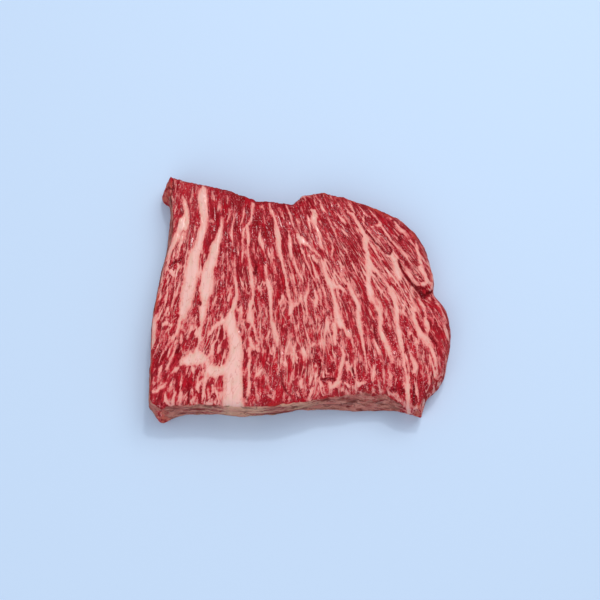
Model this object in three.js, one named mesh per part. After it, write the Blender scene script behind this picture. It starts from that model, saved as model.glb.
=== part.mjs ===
// A raw, heavily marbled beef steak lying flat: one thick slab cut from a coarse-grained flank muscle.
// Millimetres, +Z up. X runs across the grain, Y runs along it towards the rear edge, and the slab rests on Z = 0.
// The left and front sides are knife cuts, so they stand steep; the rear and right sides are the muscle's own
// rounded edge. The origin is under the middle of the slab.
import * as THREE from "three";

// Driving dimensions.
const THICKNESS = 29; // at the middle of the slab
const FALL_TO_RIGHT = 5; // the muscle thins towards its own edge
const FALL_TO_REAR = 3;
const HALF_WIDTH = 98;
const HALF_DEPTH = 80;

// Mesh density.
const COLUMNS = 78; // across the grain
const ROWS = 36; // along the grain
const EDGE_CROWDING = 0.62; // how much narrower the cells are next to the edge
const EDGE_CELLS = 1.6; // how quickly the cells widen again
const INWARD_SPAN = 6; // cells to each side that settle which way is inward at a place on the edge
const EVENING_ROUNDS = 40; // how often the top's cells are evened out

// The wall's rings, as shares of the height from the table to the top edge.
const WALL_LEVELS = [0, 0.06, 0.2, 0.4, 0.6, 0.8, 1];
const FOOT_TUCK = 3.4; // how far the slab's foot curls in under it
const FOOT_SHARE = 0.22; // share of the wall that the curl takes
const SETBACK_POWER = 1.5;
const WALL_FOLD_DEPTH = 0.55;
const WALL_FOLD_LENGTH = 31;

// The edge is rounded over this many times its drop.
const ROUND_REACH = 1.7;

// Coarse bundles of fibre make long low ridges along the grain: [pitch, height, wander, length of the wander].
const BUNDLE_RIDGES = [
  [19, 0.45, 2.6, 96],
  [11.7, 0.4, 2.2, 61],
  [8.3, 0.3, 1.6, 37],
];
const RIDGE_FADE_LENGTH = 74; // ridges rise and sink again over this length
const RIDGE_FADE = 0.55;

// The muscle's own edge, at the rear and right, is ragged: [length, depth] of its waves.
const RAGGED_WAVES = [
  [13, 0.45],
  [7.1, 0.35],
];
const RAGGED_FROM = [-45, -20]; // left of this it is smooth

// A place on the outline: how far out the slab reaches there, how far its top edge stands back from that, and how
// far that edge drops below the top.
const place = (x, y, setback, drop) => ({ x, y, setback, drop });

// The four sides, clockwise from above, each ending where the next one starts.
const REAR_EDGE = [
  place(-86.5, 86.5, 1.2, 3.5),
  place(-74, 83.8, 1.5, 4.2),
  place(-60, 80.8, 1.5, 4.8),
  place(-47, 77.8, 1.5, 5),
  place(-36, 73.5, 1.5, 5),
  place(-25, 69.6, 1.5, 4.5),
  place(-15, 69.4, 1.5, 4.5),
  place(-5, 67, 1.2, 4),
  place(2, 72.5, 1.2, 4),
  place(16, 76, 1.5, 5),
  place(29, 73, 1.5, 5.5),
];
const RIGHT_EDGE = [
  place(29, 73, 1.5, 5.5),
  place(48, 68, 1.8, 7),
  place(64.5, 61.5, 2, 7.5),
  place(82, 46, 2, 8),
  place(88, 29, 2, 7.5),
  place(91, 15, 1.2, 7),
  place(89.2, 6.5, 0.4, 9),
  place(94.6, 1, 0.6, 8.5),
  place(98.6, -5.5, 1.5, 7.5),
  place(101, -15, 2, 8),
  place(99.5, -32, 2, 8),
  place(97, -47, 2, 8),
  place(91, -57, 2, 8),
  place(82.5, -66.5, 2.4, 7.5),
  place(80.8, -75.2, 3, 6),
];
const FRONT_EDGE = [
  place(80.8, -75.2, 3, 6),
  place(71, -72.6, 1.4, 4.5),
  place(65, -71, 1.4, 4.5),
  place(60.5, -70.6, 4.4, 4.3),
  place(55, -71, 8.8, 4),
  place(41, -71.8, 10, 3.5),
  place(31, -71.2, 7.8, 3.5),
  place(21, -70.4, 5, 3.5),
  place(11, -70, 2.6, 3.5),
  place(2, -70.3, 0.8, 3.3),
  place(-13, -72.8, 0.8, 3),
  place(-30, -74.4, 2, 3),
  place(-50, -73.5, 2, 3),
  place(-72, -73.5, 2, 3),
  place(-82, -76.5, 5, 3),
  place(-89.5, -79.5, 8.5, 3),
  place(-97.2, -68, 1.5, 3),
];
const LEFT_EDGE = [
  place(-97.2, -68, 1.5, 3),
  place(-96, -45, 0.6, 3),
  place(-95.9, -20, 0.6, 3),
  place(-94.2, -3, 1, 3),
  place(-92, 18, 2.5, 3),
  place(-89, 38, 4.5, 3),
  place(-87, 56, 3.5, 3),
  place(-86, 66, 1, 3.5),
  place(-87.4, 71, 1.6, 3.5),
  place(-93.4, 73, 6.4, 4),
  place(-93.6, 77.5, 6.4, 4),
  place(-90.6, 82.8, 4, 4),
  place(-86.5, 86.5, 1.2, 3.5),
];

// Broad swells and hollows of the top face: [x, y, reach across, reach along, height].
const SWELLS = [
  [-60, -20, 26, 60, 1.4], // the two great fat bands
  [-43, -55, 11, 30, 0.8], // the thick band that reaches the front cut
  [-15, -65, 15, 12, 2.2], // the lean lobe at the front edge
  [12, -58, 8, 20, -2.6], // the fold beside it
  [48, -48, 30, 22, 1.8], // the swell that rolls over the front edge
  [-10, -25, 26, 24, -1.2],
  [20, 40, 30, 24, 0.9],
  [62, 40, 18, 20, 1.1], // the upper lobe
  [84, -24, 13, 30, 0.8], // the lower lobe
  [-74, 66, 10, 12, -1.2],
];

// The cleft between the two lobes of the right edge, deepest where it meets the edge.
const CLEFT = [
  [92, 1.5],
  [82, 1.5],
  [73.5, 8.5],
  [66.5, 17.5],
  [63.5, 28],
];
const CLEFT_DEPTH = 7.5;
const CLEFT_HALF_WIDTH = 3.2;

const MEAT = new THREE.MeshStandardMaterial({ color: 0xb4474c, roughness: 0.42, metalness: 0 });

const bell = (offset, reach) => Math.exp(-((offset / reach) ** 2));
const wave = (length, position) => Math.sin((2 * Math.PI * position) / length);

// Shares from 0 to 1 in a number of steps that are smaller near both ends.
function gradedShares(count) {
  const widths = Array.from({ length: count }, (_, i) => {
    const fromEnd = Math.min(i, count - 1 - i);
    return 1 - EDGE_CROWDING * Math.exp(-fromEnd / EDGE_CELLS);
  });
  const whole = widths.reduce((sum, width) => sum + width, 0);
  const shares = [0];
  widths.forEach((width) => shares.push(shares[shares.length - 1] + width / whole));
  shares[count] = 1;
  return shares;
}

// Places along one side at the given shares of its length.
function alongSide(places, shares) {
  const route = new THREE.CatmullRomCurve3(
    places.map((p) => new THREE.Vector3(p.x, p.y, 0)),
    false,
    "centripetal",
  );
  const edge = new THREE.CatmullRomCurve3(
    places.map((p) => new THREE.Vector3(p.setback, p.drop, 0)),
    false,
    "catmullrom",
    0,
  );
  return shares.map((share) => {
    const t = route.getUtoTmapping(share);
    const at = route.getPoint(t);
    const form = edge.getPoint(t);
    return place(at.x, at.y, form.x, form.y);
  });
}

// A side of the muscle's own edge, made ragged between its two ends.
function ragged(side) {
  let run = 0;
  return side.map((p, k) => {
    if (k === 0 || k === side.length - 1) return p;
    const [before, after] = [side[k - 1], side[k + 1]];
    const step = Math.hypot(p.x - before.x, p.y - before.y);
    run += step;
    const outward = new THREE.Vector2(before.y - after.y, after.x - before.x).normalize();
    const share = THREE.MathUtils.smoothstep(p.x, ...RAGGED_FROM);
    const depth = share * RAGGED_WAVES.reduce((sum, [length, rise]) => sum + rise * wave(length, run), 0);
    return { ...p, x: p.x + depth * outward.x, y: p.y + depth * outward.y };
  });
}

// The whole outline as one clockwise loop, with each place's inward direction.
function outlineLoop(columnShares, rowShares) {
  const sides = [
    ragged(alongSide(REAR_EDGE, columnShares)),
    ragged(alongSide(RIGHT_EDGE, rowShares)),
    alongSide(FRONT_EDGE, columnShares),
    alongSide(LEFT_EDGE, rowShares),
  ];
  const loop = sides.flatMap((side) => side.slice(0, -1));
  const count = loop.length;
  return loop.map((p, k) => {
    const before = loop[(k + count - INWARD_SPAN) % count];
    const after = loop[(k + INWARD_SPAN) % count];
    const inward = new THREE.Vector2(after.y - before.y, before.x - after.x).normalize();
    return { ...p, inward };
  });
}

// How deep the cleft is at a point of the top face.
function cleftDepth(x, y) {
  let nearest = Infinity;
  let share = 0;
  const legs = CLEFT.length - 1;
  for (let leg = 0; leg < legs; leg++) {
    const [ax, ay] = CLEFT[leg];
    const [bx, by] = CLEFT[leg + 1];
    const length2 = (bx - ax) ** 2 + (by - ay) ** 2;
    const t = THREE.MathUtils.clamp(((x - ax) * (bx - ax) + (y - ay) * (by - ay)) / length2, 0, 1);
    const distance = Math.hypot(x - ax - t * (bx - ax), y - ay - t * (by - ay));
    if (distance < nearest) {
      nearest = distance;
      share = (leg + t) / legs;
    }
  }
  return CLEFT_DEPTH * (1 - share) * bell(nearest, CLEFT_HALF_WIDTH);
}

// Height of the top face, before its edge is rounded.
function topHeight(x, y) {
  let height = THICKNESS;
  height -= FALL_TO_RIGHT * THREE.MathUtils.smoothstep(x, -0.1 * HALF_WIDTH, HALF_WIDTH);
  height -= FALL_TO_REAR * THREE.MathUtils.smoothstep(y, 0, HALF_DEPTH);
  for (const [sx, sy, across, along, rise] of SWELLS) {
    height += rise * bell(x - sx, across) * bell(y - sy, along);
  }
  return height - cleftDepth(x, y);
}

// The fibre bundles' ridges, across the grain at a distance and along it at another.
function ridgeHeight(across, along) {
  let height = 0;
  BUNDLE_RIDGES.forEach(([pitch, rise, wander, wanderLength], n) => {
    const fade = 1 - RIDGE_FADE * wave(RIDGE_FADE_LENGTH, along + 1.9 * across + 23 * n) ** 2;
    height += fade * rise * wave(pitch, across + wander * wave(wanderLength, along + 11 * n) + 3 * n);
  });
  return height;
}

// The top face's points, spread over the loop's four sides as a blended patch, in rows from the rear to the front.
function patchPoints(rim, columnShares, rowShares) {
  const rear = (i) => rim[i];
  const right = (j) => rim[COLUMNS + j];
  const front = (i) => rim[COLUMNS + ROWS + (COLUMNS - i)];
  const left = (j) => rim[(2 * COLUMNS + ROWS + (ROWS - j)) % rim.length];
  const blend = (i, j, key) => {
    const u = columnShares[i];
    const v = rowShares[j];
    const corners =
      (1 - u) * (1 - v) * rear(0)[key] +
      u * (1 - v) * rear(COLUMNS)[key] +
      u * v * front(COLUMNS)[key] +
      (1 - u) * v * front(0)[key];
    const ruled = (1 - v) * rear(i)[key] + v * front(i)[key] + (1 - u) * left(j)[key] + u * right(j)[key];
    return ruled - corners;
  };
  const points = [];
  for (let j = 0; j <= ROWS; j++) {
    for (let i = 0; i <= COLUMNS; i++) points.push({ x: blend(i, j, "x"), y: blend(i, j, "y") });
  }
  for (let round = 0; round < EVENING_ROUNDS; round++) evenOut(points);
  return points;
}

// Moves each inner point of the top face to the middle of its four neighbours, so that no cell folds over.
function evenOut(points) {
  for (let j = 1; j < ROWS; j++) {
    for (let i = 1; i < COLUMNS; i++) {
      const n = j * (COLUMNS + 1) + i;
      const around = [points[n - 1], points[n + 1], points[n - COLUMNS - 1], points[n + COLUMNS + 1]];
      const middle = (key) => around.reduce((sum, point) => sum + point[key], 0) / around.length;
      points[n] = { x: middle("x"), y: middle("y") };
    }
  }
}

// How far the rounded edge drops a point of the top face, from the nearest place on the rim.
function edgeDrop(point, rim) {
  let nearest = Infinity;
  let drop = 0;
  for (const p of rim) {
    const distance = Math.hypot(point.x - p.x, point.y - p.y);
    if (distance < nearest) {
      nearest = distance;
      drop = p.drop;
    }
  }
  const share = Math.min(1, nearest / (ROUND_REACH * drop));
  return drop * (1 - Math.sqrt(1 - (1 - share) ** 2));
}

// One point of the wall: the outline, drawn in by its setback, its curled foot and the folds of a cut face.
function wallPoint(p, k, count, level, rimHeight) {
  const foot = Math.max(0, 1 - level / FOOT_SHARE) ** 2;
  const run = (k / count) * 2 * (2 * HALF_WIDTH + 2 * HALF_DEPTH);
  const fold =
    WALL_FOLD_DEPTH * wave(WALL_FOLD_LENGTH, run + 40 * level) +
    WALL_FOLD_DEPTH * wave(0.43 * WALL_FOLD_LENGTH, run - 25 * level);
  const inset = p.setback * level ** SETBACK_POWER + FOOT_TUCK * foot + fold * Math.sin(Math.PI * level);
  return new THREE.Vector3(p.x + inset * p.inward.x, p.y + inset * p.inward.y, rimHeight * level);
}

function steakGeometry() {
  const columnShares = gradedShares(COLUMNS);
  const rowShares = gradedShares(ROWS);
  // The shares are the same from either end, so they also fit the front and left sides, which run backwards.
  const outline = outlineLoop(columnShares, rowShares);
  const count = outline.length;
  const rim = outline.map((p) => ({
    ...p,
    x: p.x + p.setback * p.inward.x,
    y: p.y + p.setback * p.inward.y,
  }));

  const positions = [];
  const push = (x, y, z) => positions.push(x, y, z) / 3 - 1;

  // Top face.
  const patch = patchPoints(rim, columnShares, rowShares);
  const heights = patch.map((point, n) => {
    const i = n % (COLUMNS + 1);
    const across = (columnShares[i] - 0.5) * 2 * HALF_WIDTH;
    const drop = edgeDrop(point, rim);
    return topHeight(point.x, point.y) + ridgeHeight(across, point.y) - drop;
  });
  patch.forEach((point, n) => push(point.x, point.y, heights[n]));
  const gridIndex = (i, j) => j * (COLUMNS + 1) + i;
  const rimIndex = (k) => {
    if (k < COLUMNS) return gridIndex(k, 0);
    if (k < COLUMNS + ROWS) return gridIndex(COLUMNS, k - COLUMNS);
    if (k < 2 * COLUMNS + ROWS) return gridIndex(2 * COLUMNS + ROWS - k, ROWS);
    return gridIndex(0, 2 * COLUMNS + 2 * ROWS - k);
  };

  // Wall, ring by ring from the table up; the last ring is the top face's own rim.
  const rings = WALL_LEVELS.slice(0, -1).map((level) =>
    outline.map((p, k) => {
      const at = wallPoint(p, k, count, level, heights[rimIndex(k)]);
      return push(at.x, at.y, at.z);
    }),
  );
  rings.push(outline.map((_, k) => rimIndex(k)));

  // Each cell is split along its shorter diagonal.
  const triangles = [];
  const point = (n) => new THREE.Vector3().fromArray(positions, 3 * n);
  const quad = (a, b, c, d) => {
    const split = point(a).distanceTo(point(c)) <= point(b).distanceTo(point(d));
    triangles.push(...(split ? [a, b, c, a, c, d] : [a, b, d, b, c, d]));
  };
  for (let j = 0; j < ROWS; j++) {
    for (let i = 0; i < COLUMNS; i++) {
      quad(gridIndex(i, j), gridIndex(i, j + 1), gridIndex(i + 1, j + 1), gridIndex(i + 1, j));
    }
  }
  for (let level = 0; level < rings.length - 1; level++) {
    const [low, high] = [rings[level], rings[level + 1]];
    for (let k = 0; k < count; k++) {
      const next = (k + 1) % count;
      quad(low[k], high[k], high[next], low[next]);
    }
  }

  // The flat underside that the slab rests on, facing down.
  const foot = rings[0];
  const contour = foot.map((n) => new THREE.Vector2(positions[3 * n], positions[3 * n + 1]));
  for (const [a, b, c] of THREE.ShapeUtils.triangulateShape(contour, [])) {
    triangles.push(foot[a], foot[c], foot[b]);
  }

  const geometry = new THREE.BufferGeometry();
  geometry.setAttribute("position", new THREE.Float32BufferAttribute(positions, 3));
  geometry.setIndex(triangles);
  return geometry;
}

// Puts the middle of the slab's box over the origin.
function centred(geometry) {
  geometry.computeBoundingBox();
  const { min, max } = geometry.boundingBox;
  geometry.translate(-(min.x + max.x) / 2, -(min.y + max.y) / 2, -min.z);
  geometry.computeVertexNormals();
  return geometry;
}

const steak = new THREE.Mesh(centred(steakGeometry()), MEAT);
steak.name = "steak";

const group = new THREE.Group();
group.add(steak);

export default group;
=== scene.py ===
import logging
import math
from dataclasses import dataclass, field, fields
from enum import Enum
from typing import Iterable, Optional, Sequence, Union

import bmesh
import bpy
import numpy as np
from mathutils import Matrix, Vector, geometry, noise


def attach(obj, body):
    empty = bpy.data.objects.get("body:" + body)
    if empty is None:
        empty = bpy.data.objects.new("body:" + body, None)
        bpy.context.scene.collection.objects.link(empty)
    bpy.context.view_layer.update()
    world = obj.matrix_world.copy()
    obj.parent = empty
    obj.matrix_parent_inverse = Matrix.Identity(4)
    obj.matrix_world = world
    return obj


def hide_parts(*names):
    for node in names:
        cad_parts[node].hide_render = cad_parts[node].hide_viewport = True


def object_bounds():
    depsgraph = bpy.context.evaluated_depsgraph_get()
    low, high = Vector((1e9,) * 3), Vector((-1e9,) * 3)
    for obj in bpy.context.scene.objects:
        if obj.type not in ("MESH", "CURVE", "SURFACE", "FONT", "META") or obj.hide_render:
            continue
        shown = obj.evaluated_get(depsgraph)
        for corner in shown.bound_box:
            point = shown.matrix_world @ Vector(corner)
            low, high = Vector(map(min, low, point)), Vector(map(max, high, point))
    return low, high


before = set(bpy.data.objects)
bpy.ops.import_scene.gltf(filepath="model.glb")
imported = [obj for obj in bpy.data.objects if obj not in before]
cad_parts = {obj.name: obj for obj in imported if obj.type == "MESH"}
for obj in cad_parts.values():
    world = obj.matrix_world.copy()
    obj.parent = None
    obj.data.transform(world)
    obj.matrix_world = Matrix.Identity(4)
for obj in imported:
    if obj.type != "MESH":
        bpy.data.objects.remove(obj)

# The look of a raw, heavily marbled beef steak: bands and threads of fat through coarse dark red lean.
# Places on the steak are millimetres in the part's own frame: X across the grain, Y along it, Z up.

CAD_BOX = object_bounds()
MM = 0.001
LOG = logging.getLogger("steak")

Triple = tuple[float, float, float]
Span = tuple[float, float]
Path = Sequence[Triple]
Input = Union["Signal", float, Sequence[float]]


def tint(red: float, green: float, blue: float) -> tuple[float, float, float, float]:
    """Turns a display colour into the linear one that a shader takes.

    Args:
        red: Display red, 0 to 255.
        green: Display green, 0 to 255.
        blue: Display blue, 0 to 255.

    Returns:
        The linear colour with full alpha.
    """
    levels = [level / 255 for level in (red, green, blue)]
    linear = [level / 12.92 if level < 0.0404 else ((level + 0.055) / 1.055) ** 2.4 for level in levels]
    return (*linear, 1.0)


class Signal:
    """A value that flows through a node tree and takes Python's operators."""

    def __init__(self, graph: "Graph", socket: bpy.types.NodeSocket) -> None:
        """Wraps an output socket of a graph."""
        self.graph = graph
        self.socket = socket

    def _math(self, operation: str, *terms: Input) -> "Signal":
        """Adds one Math node."""
        return self.graph.add("ShaderNodeMath", {"operation": operation}, dict(enumerate(terms)))

    def __add__(self, other: Input) -> "Signal":
        """Sum."""
        return self._math("ADD", self, other)

    def __sub__(self, other: Input) -> "Signal":
        """Difference."""
        return self._math("SUBTRACT", self, other)

    def __rsub__(self, other: Input) -> "Signal":
        """Reflected difference."""
        return self._math("SUBTRACT", other, self)

    def __mul__(self, other: Input) -> "Signal":
        """Product."""
        return self._math("MULTIPLY", self, other)

    def __truediv__(self, other: Input) -> "Signal":
        """Quotient."""
        return self._math("DIVIDE", self, other)

    def __abs__(self) -> "Signal":
        """Size without the sign."""
        return self._math("ABSOLUTE", self)

    __radd__ = __add__
    __rmul__ = __mul__

    def above(self, other: Input, blend: float) -> "Signal":
        """The larger of two signals, with their corner rounded over a blend.

        Args:
            other: The signal to compare with.
            blend: How far apart they no longer soften each other.

        Returns:
            The larger of the two.
        """
        return self._math("SMOOTH_MAX", self, other, blend)

    def ease(self, low: float, high: float) -> "Signal":
        """A smooth step from 0 at low to 1 at high.

        Args:
            low: Where the step starts.
            high: Where it ends, below low for a falling step.

        Returns:
            The step, from 0 to 1.
        """
        inputs = {"Value": self, "From Min": low, "From Max": high}
        return self.graph.add("ShaderNodeMapRange", {"interpolation_type": "SMOOTHSTEP"}, inputs)


class Graph:
    """Writes nodes into a shader or geometry tree."""

    def __init__(self, tree: bpy.types.NodeTree) -> None:
        """Takes the tree that is written."""
        self.tree = tree

    def add(
        self,
        kind: str,
        settings: Optional[dict] = None,
        inputs: Optional[dict] = None,
        output: Union[int, str] = 0,
    ) -> Signal:
        """Adds one node.

        Args:
            kind: The node's type name.
            settings: Its properties, with a ramp's (position, colour) pairs under "stops".
            inputs: Values or signals by socket name or number.
            output: The output socket that is wanted.

        Returns:
            The signal from that output.
        """
        node = self.tree.nodes.new(kind)
        for name, value in (settings or {}).items():
            if name == "stops":
                self._set_stops(node.color_ramp, value)
            else:
                setattr(node, name, value)
        for name, value in (inputs or {}).items():
            self.feed(node.inputs[name], value)
        return Signal(self, node.outputs[output])

    def end(self, kind: str, name: str, value: Signal) -> None:
        """Adds the node that a tree ends in and feeds one of its inputs."""
        self.feed(self.tree.nodes.new(kind).inputs[name], value)

    def feed(self, socket: bpy.types.NodeSocket, value: Input) -> None:
        """Sets an input socket to a value or links a signal to it."""
        if isinstance(value, Signal):
            self.tree.links.new(value.socket, socket)
        else:
            socket.default_value = value

    @staticmethod
    def _set_stops(ramp: bpy.types.ColorRamp, stops: Sequence[tuple[float, Sequence[float]]]) -> None:
        """Fills a colour ramp with its stops."""
        while len(ramp.elements) < len(stops):
            ramp.elements.new(1.0)
        for element, (position, colour) in zip(ramp.elements, stops):
            element.position = position
            element.color = colour

    def vector(self, operation: str, first: Input, second: Input) -> Signal:
        """One Vector Math node on two vectors."""
        return self.add("ShaderNodeVectorMath", {"operation": operation}, {0: first, 1: second})

    def mix(self, first: Input, second: Input, share: Input) -> Signal:
        """Mixes two colours, by the share of the second."""
        return self.add("ShaderNodeMix", {"data_type": "RGBA"}, {0: share, 6: first, 7: second}, 2)

    def speckle(self, place: Signal, cell: Triple, detail: float, output: str = "Fac") -> Signal:
        """Smooth noise whose grains have a given size.

        Args:
            place: Where on the steak, in millimetres.
            cell: The grains' size along each axis of place.
            detail: How many finer octaves ride on it.
            output: "Fac" for a number, "Color" for a vector.

        Returns:
            The noise, around 0.5.
        """
        inputs = {"Vector": self._scaled(place, cell), "Scale": 1.0, "Detail": detail}
        return self.add("ShaderNodeTexNoise", {}, inputs, output)

    def drift(self, place: Signal, cell: Triple, reach: Triple, detail: float = 1.0) -> Signal:
        """A smooth random offset.

        Args:
            place: Where on the steak, in millimetres.
            cell: Over how far the offset changes, along each axis.
            reach: How far it goes along each axis.
            detail: How many finer octaves ride on it.

        Returns:
            The offset, around zero.
        """
        swing = self.vector("SUBTRACT", self.speckle(place, cell, detail, "Color"), (0.5, 0.5, 0.5))
        return self.vector("MULTIPLY", swing, reach)

    def network(self, place: Signal, cell: Triple) -> Signal:
        """How far a place is from the walls of a network of cells.

        Args:
            place: Where on the steak, in millimetres.
            cell: The cells' size along each axis of place.

        Returns:
            The distance in millimetres, across the cells.
        """
        inputs = {"Vector": self._scaled(place, cell), "Scale": 1.0}
        edge = self.add("ShaderNodeTexVoronoi", {"feature": "DISTANCE_TO_EDGE"}, inputs)
        return edge * cell[0]

    def _scaled(self, place: Signal, cell: Triple) -> Signal:
        """Counts a place in cells."""
        return self.vector("MULTIPLY", place, tuple(1 / size for size in cell))


class Tissue(Enum):
    """What a streak is made of."""

    FAT = 1
    LEAN = -1


@dataclass(frozen=True)
class Streaks:
    """Streaks of one tissue, each a path of places with the streak's half width there."""

    tissue: Tissue
    swell: float
    paths: tuple[Path, ...]

    def paint(self, places: np.ndarray, depth: np.ndarray) -> None:
        """Paints the streaks over what is there already.

        Args:
            places: X and Y of each point.
            depth: Millimetres into fat, negative in lean, changed in place.
        """
        for path in self.paths:
            near = within(places, path, DEPTH_LIMIT)
            inside = reach_into(places[near], [(x, y, width * self.swell) for x, y, width in path])
            if self.tissue is Tissue.FAT:
                depth[near] = np.maximum(depth[near], inside)
            else:
                depth[near] = np.minimum(depth[near], -inside)


@dataclass(frozen=True)
class Zone:
    """A stretch of the steak with its own marbling."""

    x: float
    y: float
    reach: float
    veining: float
    pallor: float


def within(places: np.ndarray, path: Path, margin: float) -> np.ndarray:
    """Which points lie in a path's rectangle, widened by a margin."""
    reach = max(width for _, _, width in path) + margin
    xs = [x for x, _, _ in path]
    ys = [y for _, y, _ in path]
    across = (places[:, 0] > min(xs) - reach) & (places[:, 0] < max(xs) + reach)
    return across & (places[:, 1] > min(ys) - reach) & (places[:, 1] < max(ys) + reach)


def reach_into(places: np.ndarray, path: Path) -> np.ndarray:
    """How far each point lies inside a stroke that tapers between its places.

    Args:
        places: X and Y of each point.
        path: X, Y and half width of each place along the stroke.

    Returns:
        Millimetres inside the stroke, negative outside.
    """
    best = np.full(len(places), -1e3)
    for (ax, ay, aw), (bx, by, bw) in zip(path, path[1:]):
        run = np.array((bx - ax, by - ay))
        offset = places - (ax, ay)
        share = np.clip(offset @ run / (run @ run), 0, 1)
        gap = np.linalg.norm(offset - share[:, None] * run, axis=1)
        best = np.maximum(best, aw + (bw - aw) * share - gap)
    return best


# How far a place in lean can be told from the nearest fat.
DEPTH_LIMIT = 3.0

# The broad bands of fat that run down the left half and out at the front cut.
GREAT_BANDS = Streaks(Tissue.FAT, 1.0, (
    ((-65.5, 73, 0.7), (-65, 70, 2.6), (-65.6, 65, 3.6), (-64.8, 60, 3), (-64.5, 55, 2.9),
     (-63.8, 50, 2.3), (-63.8, 45, 2.4), (-65.3, 40, 3.1), (-66.5, 35, 3), (-67.8, 30, 3.3),
     (-69.6, 25, 3.8), (-70.8, 20, 4.2), (-71, 15, 4.7), (-72, 8, 4.6), (-73, 2, 4.7), (-74.3, -4, 4.4),
     (-75.3, -10, 4), (-76.3, -15, 3), (-77.8, -19, 1.6), (-79, -24, 1.2), (-81, -29, 1.5),
     (-83, -34, 1.3), (-84.5, -39, 0.9), (-85.5, -43, 0.6)),
    ((-52.2, 50, 0.7), (-52.4, 45, 1.5), (-53.6, 40, 1.9), (-54.6, 35, 2.2), (-56.5, 30, 3.4),
     (-57.2, 26, 3.5), (-57.8, 21, 3.2), (-60, 16, 3.8), (-61, 11, 4.6), (-61.5, 6, 4.8), (-62, 0, 4.5),
     (-62.8, -6, 2.9), (-63.2, -12, 2.8), (-63.5, -17, 2.3), (-64, -22, 1.3), (-65.6, -27, 1.7),
     (-67, -30, 0.8)),
    ((-43.2, 18, 0.5), (-43, 11, 0.7), (-42.2, 5, 0.9), (-41.6, 0, 1.3), (-42, -5, 1.8), (-44, -10, 1.9),
     (-45.4, -15, 3), (-45.6, -20, 3.8), (-44.6, -26, 3.9), (-42.8, -31, 4.3), (-41.8, -37, 4.5),
     (-42, -43, 4.9), (-43, -49, 5.9), (-43.3, -56, 6.3), (-43.2, -63, 6.5), (-43.5, -70, 6.8),
     (-42.5, -84, 7)),
    ((-80.6, -53, 0.8), (-79.4, -51, 1.4), (-77.4, -47.4, 1.6), (-74, -46, 3.2), (-69.5, -44.6, 4.7),
     (-65, -44, 4.4), (-62.4, -45.4, 2.8)),
    ((-60, -44.6, 1.4), (-59.4, -48, 2.4), (-58.4, -51.4, 3.8), (-55.6, -53, 4), (-51.6, -52.4, 3.4),
     (-46, -51.5, 4)),
    ((-67.4, -27.4, 1.2), (-65.8, -28.6, 1.9), (-64.6, -31, 1.5), (-65.8, -35, 1), (-67, -38, 1.9),
     (-66.4, -41, 3)),
    ((-60.4, -54, 1.6), (-61.4, -60, 1.1), (-62, -66, 0.9), (-63.6, -72, 0.9)),
    ((-77, 53, 0.8), (-78, 49, 2.6), (-77.8, 45, 3.6), (-79.6, 41, 2.6), (-82, 36, 2.1), (-84.3, 31, 1.7),
     (-86.5, 27, 1.1), (-89, 23, 0.7)),
    ((-78, 65, 0.6), (-77, 60, 1.4), (-76, 56, 1.6), (-75, 52, 1.4), (-74.8, 48, 1.7)),
))

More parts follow.
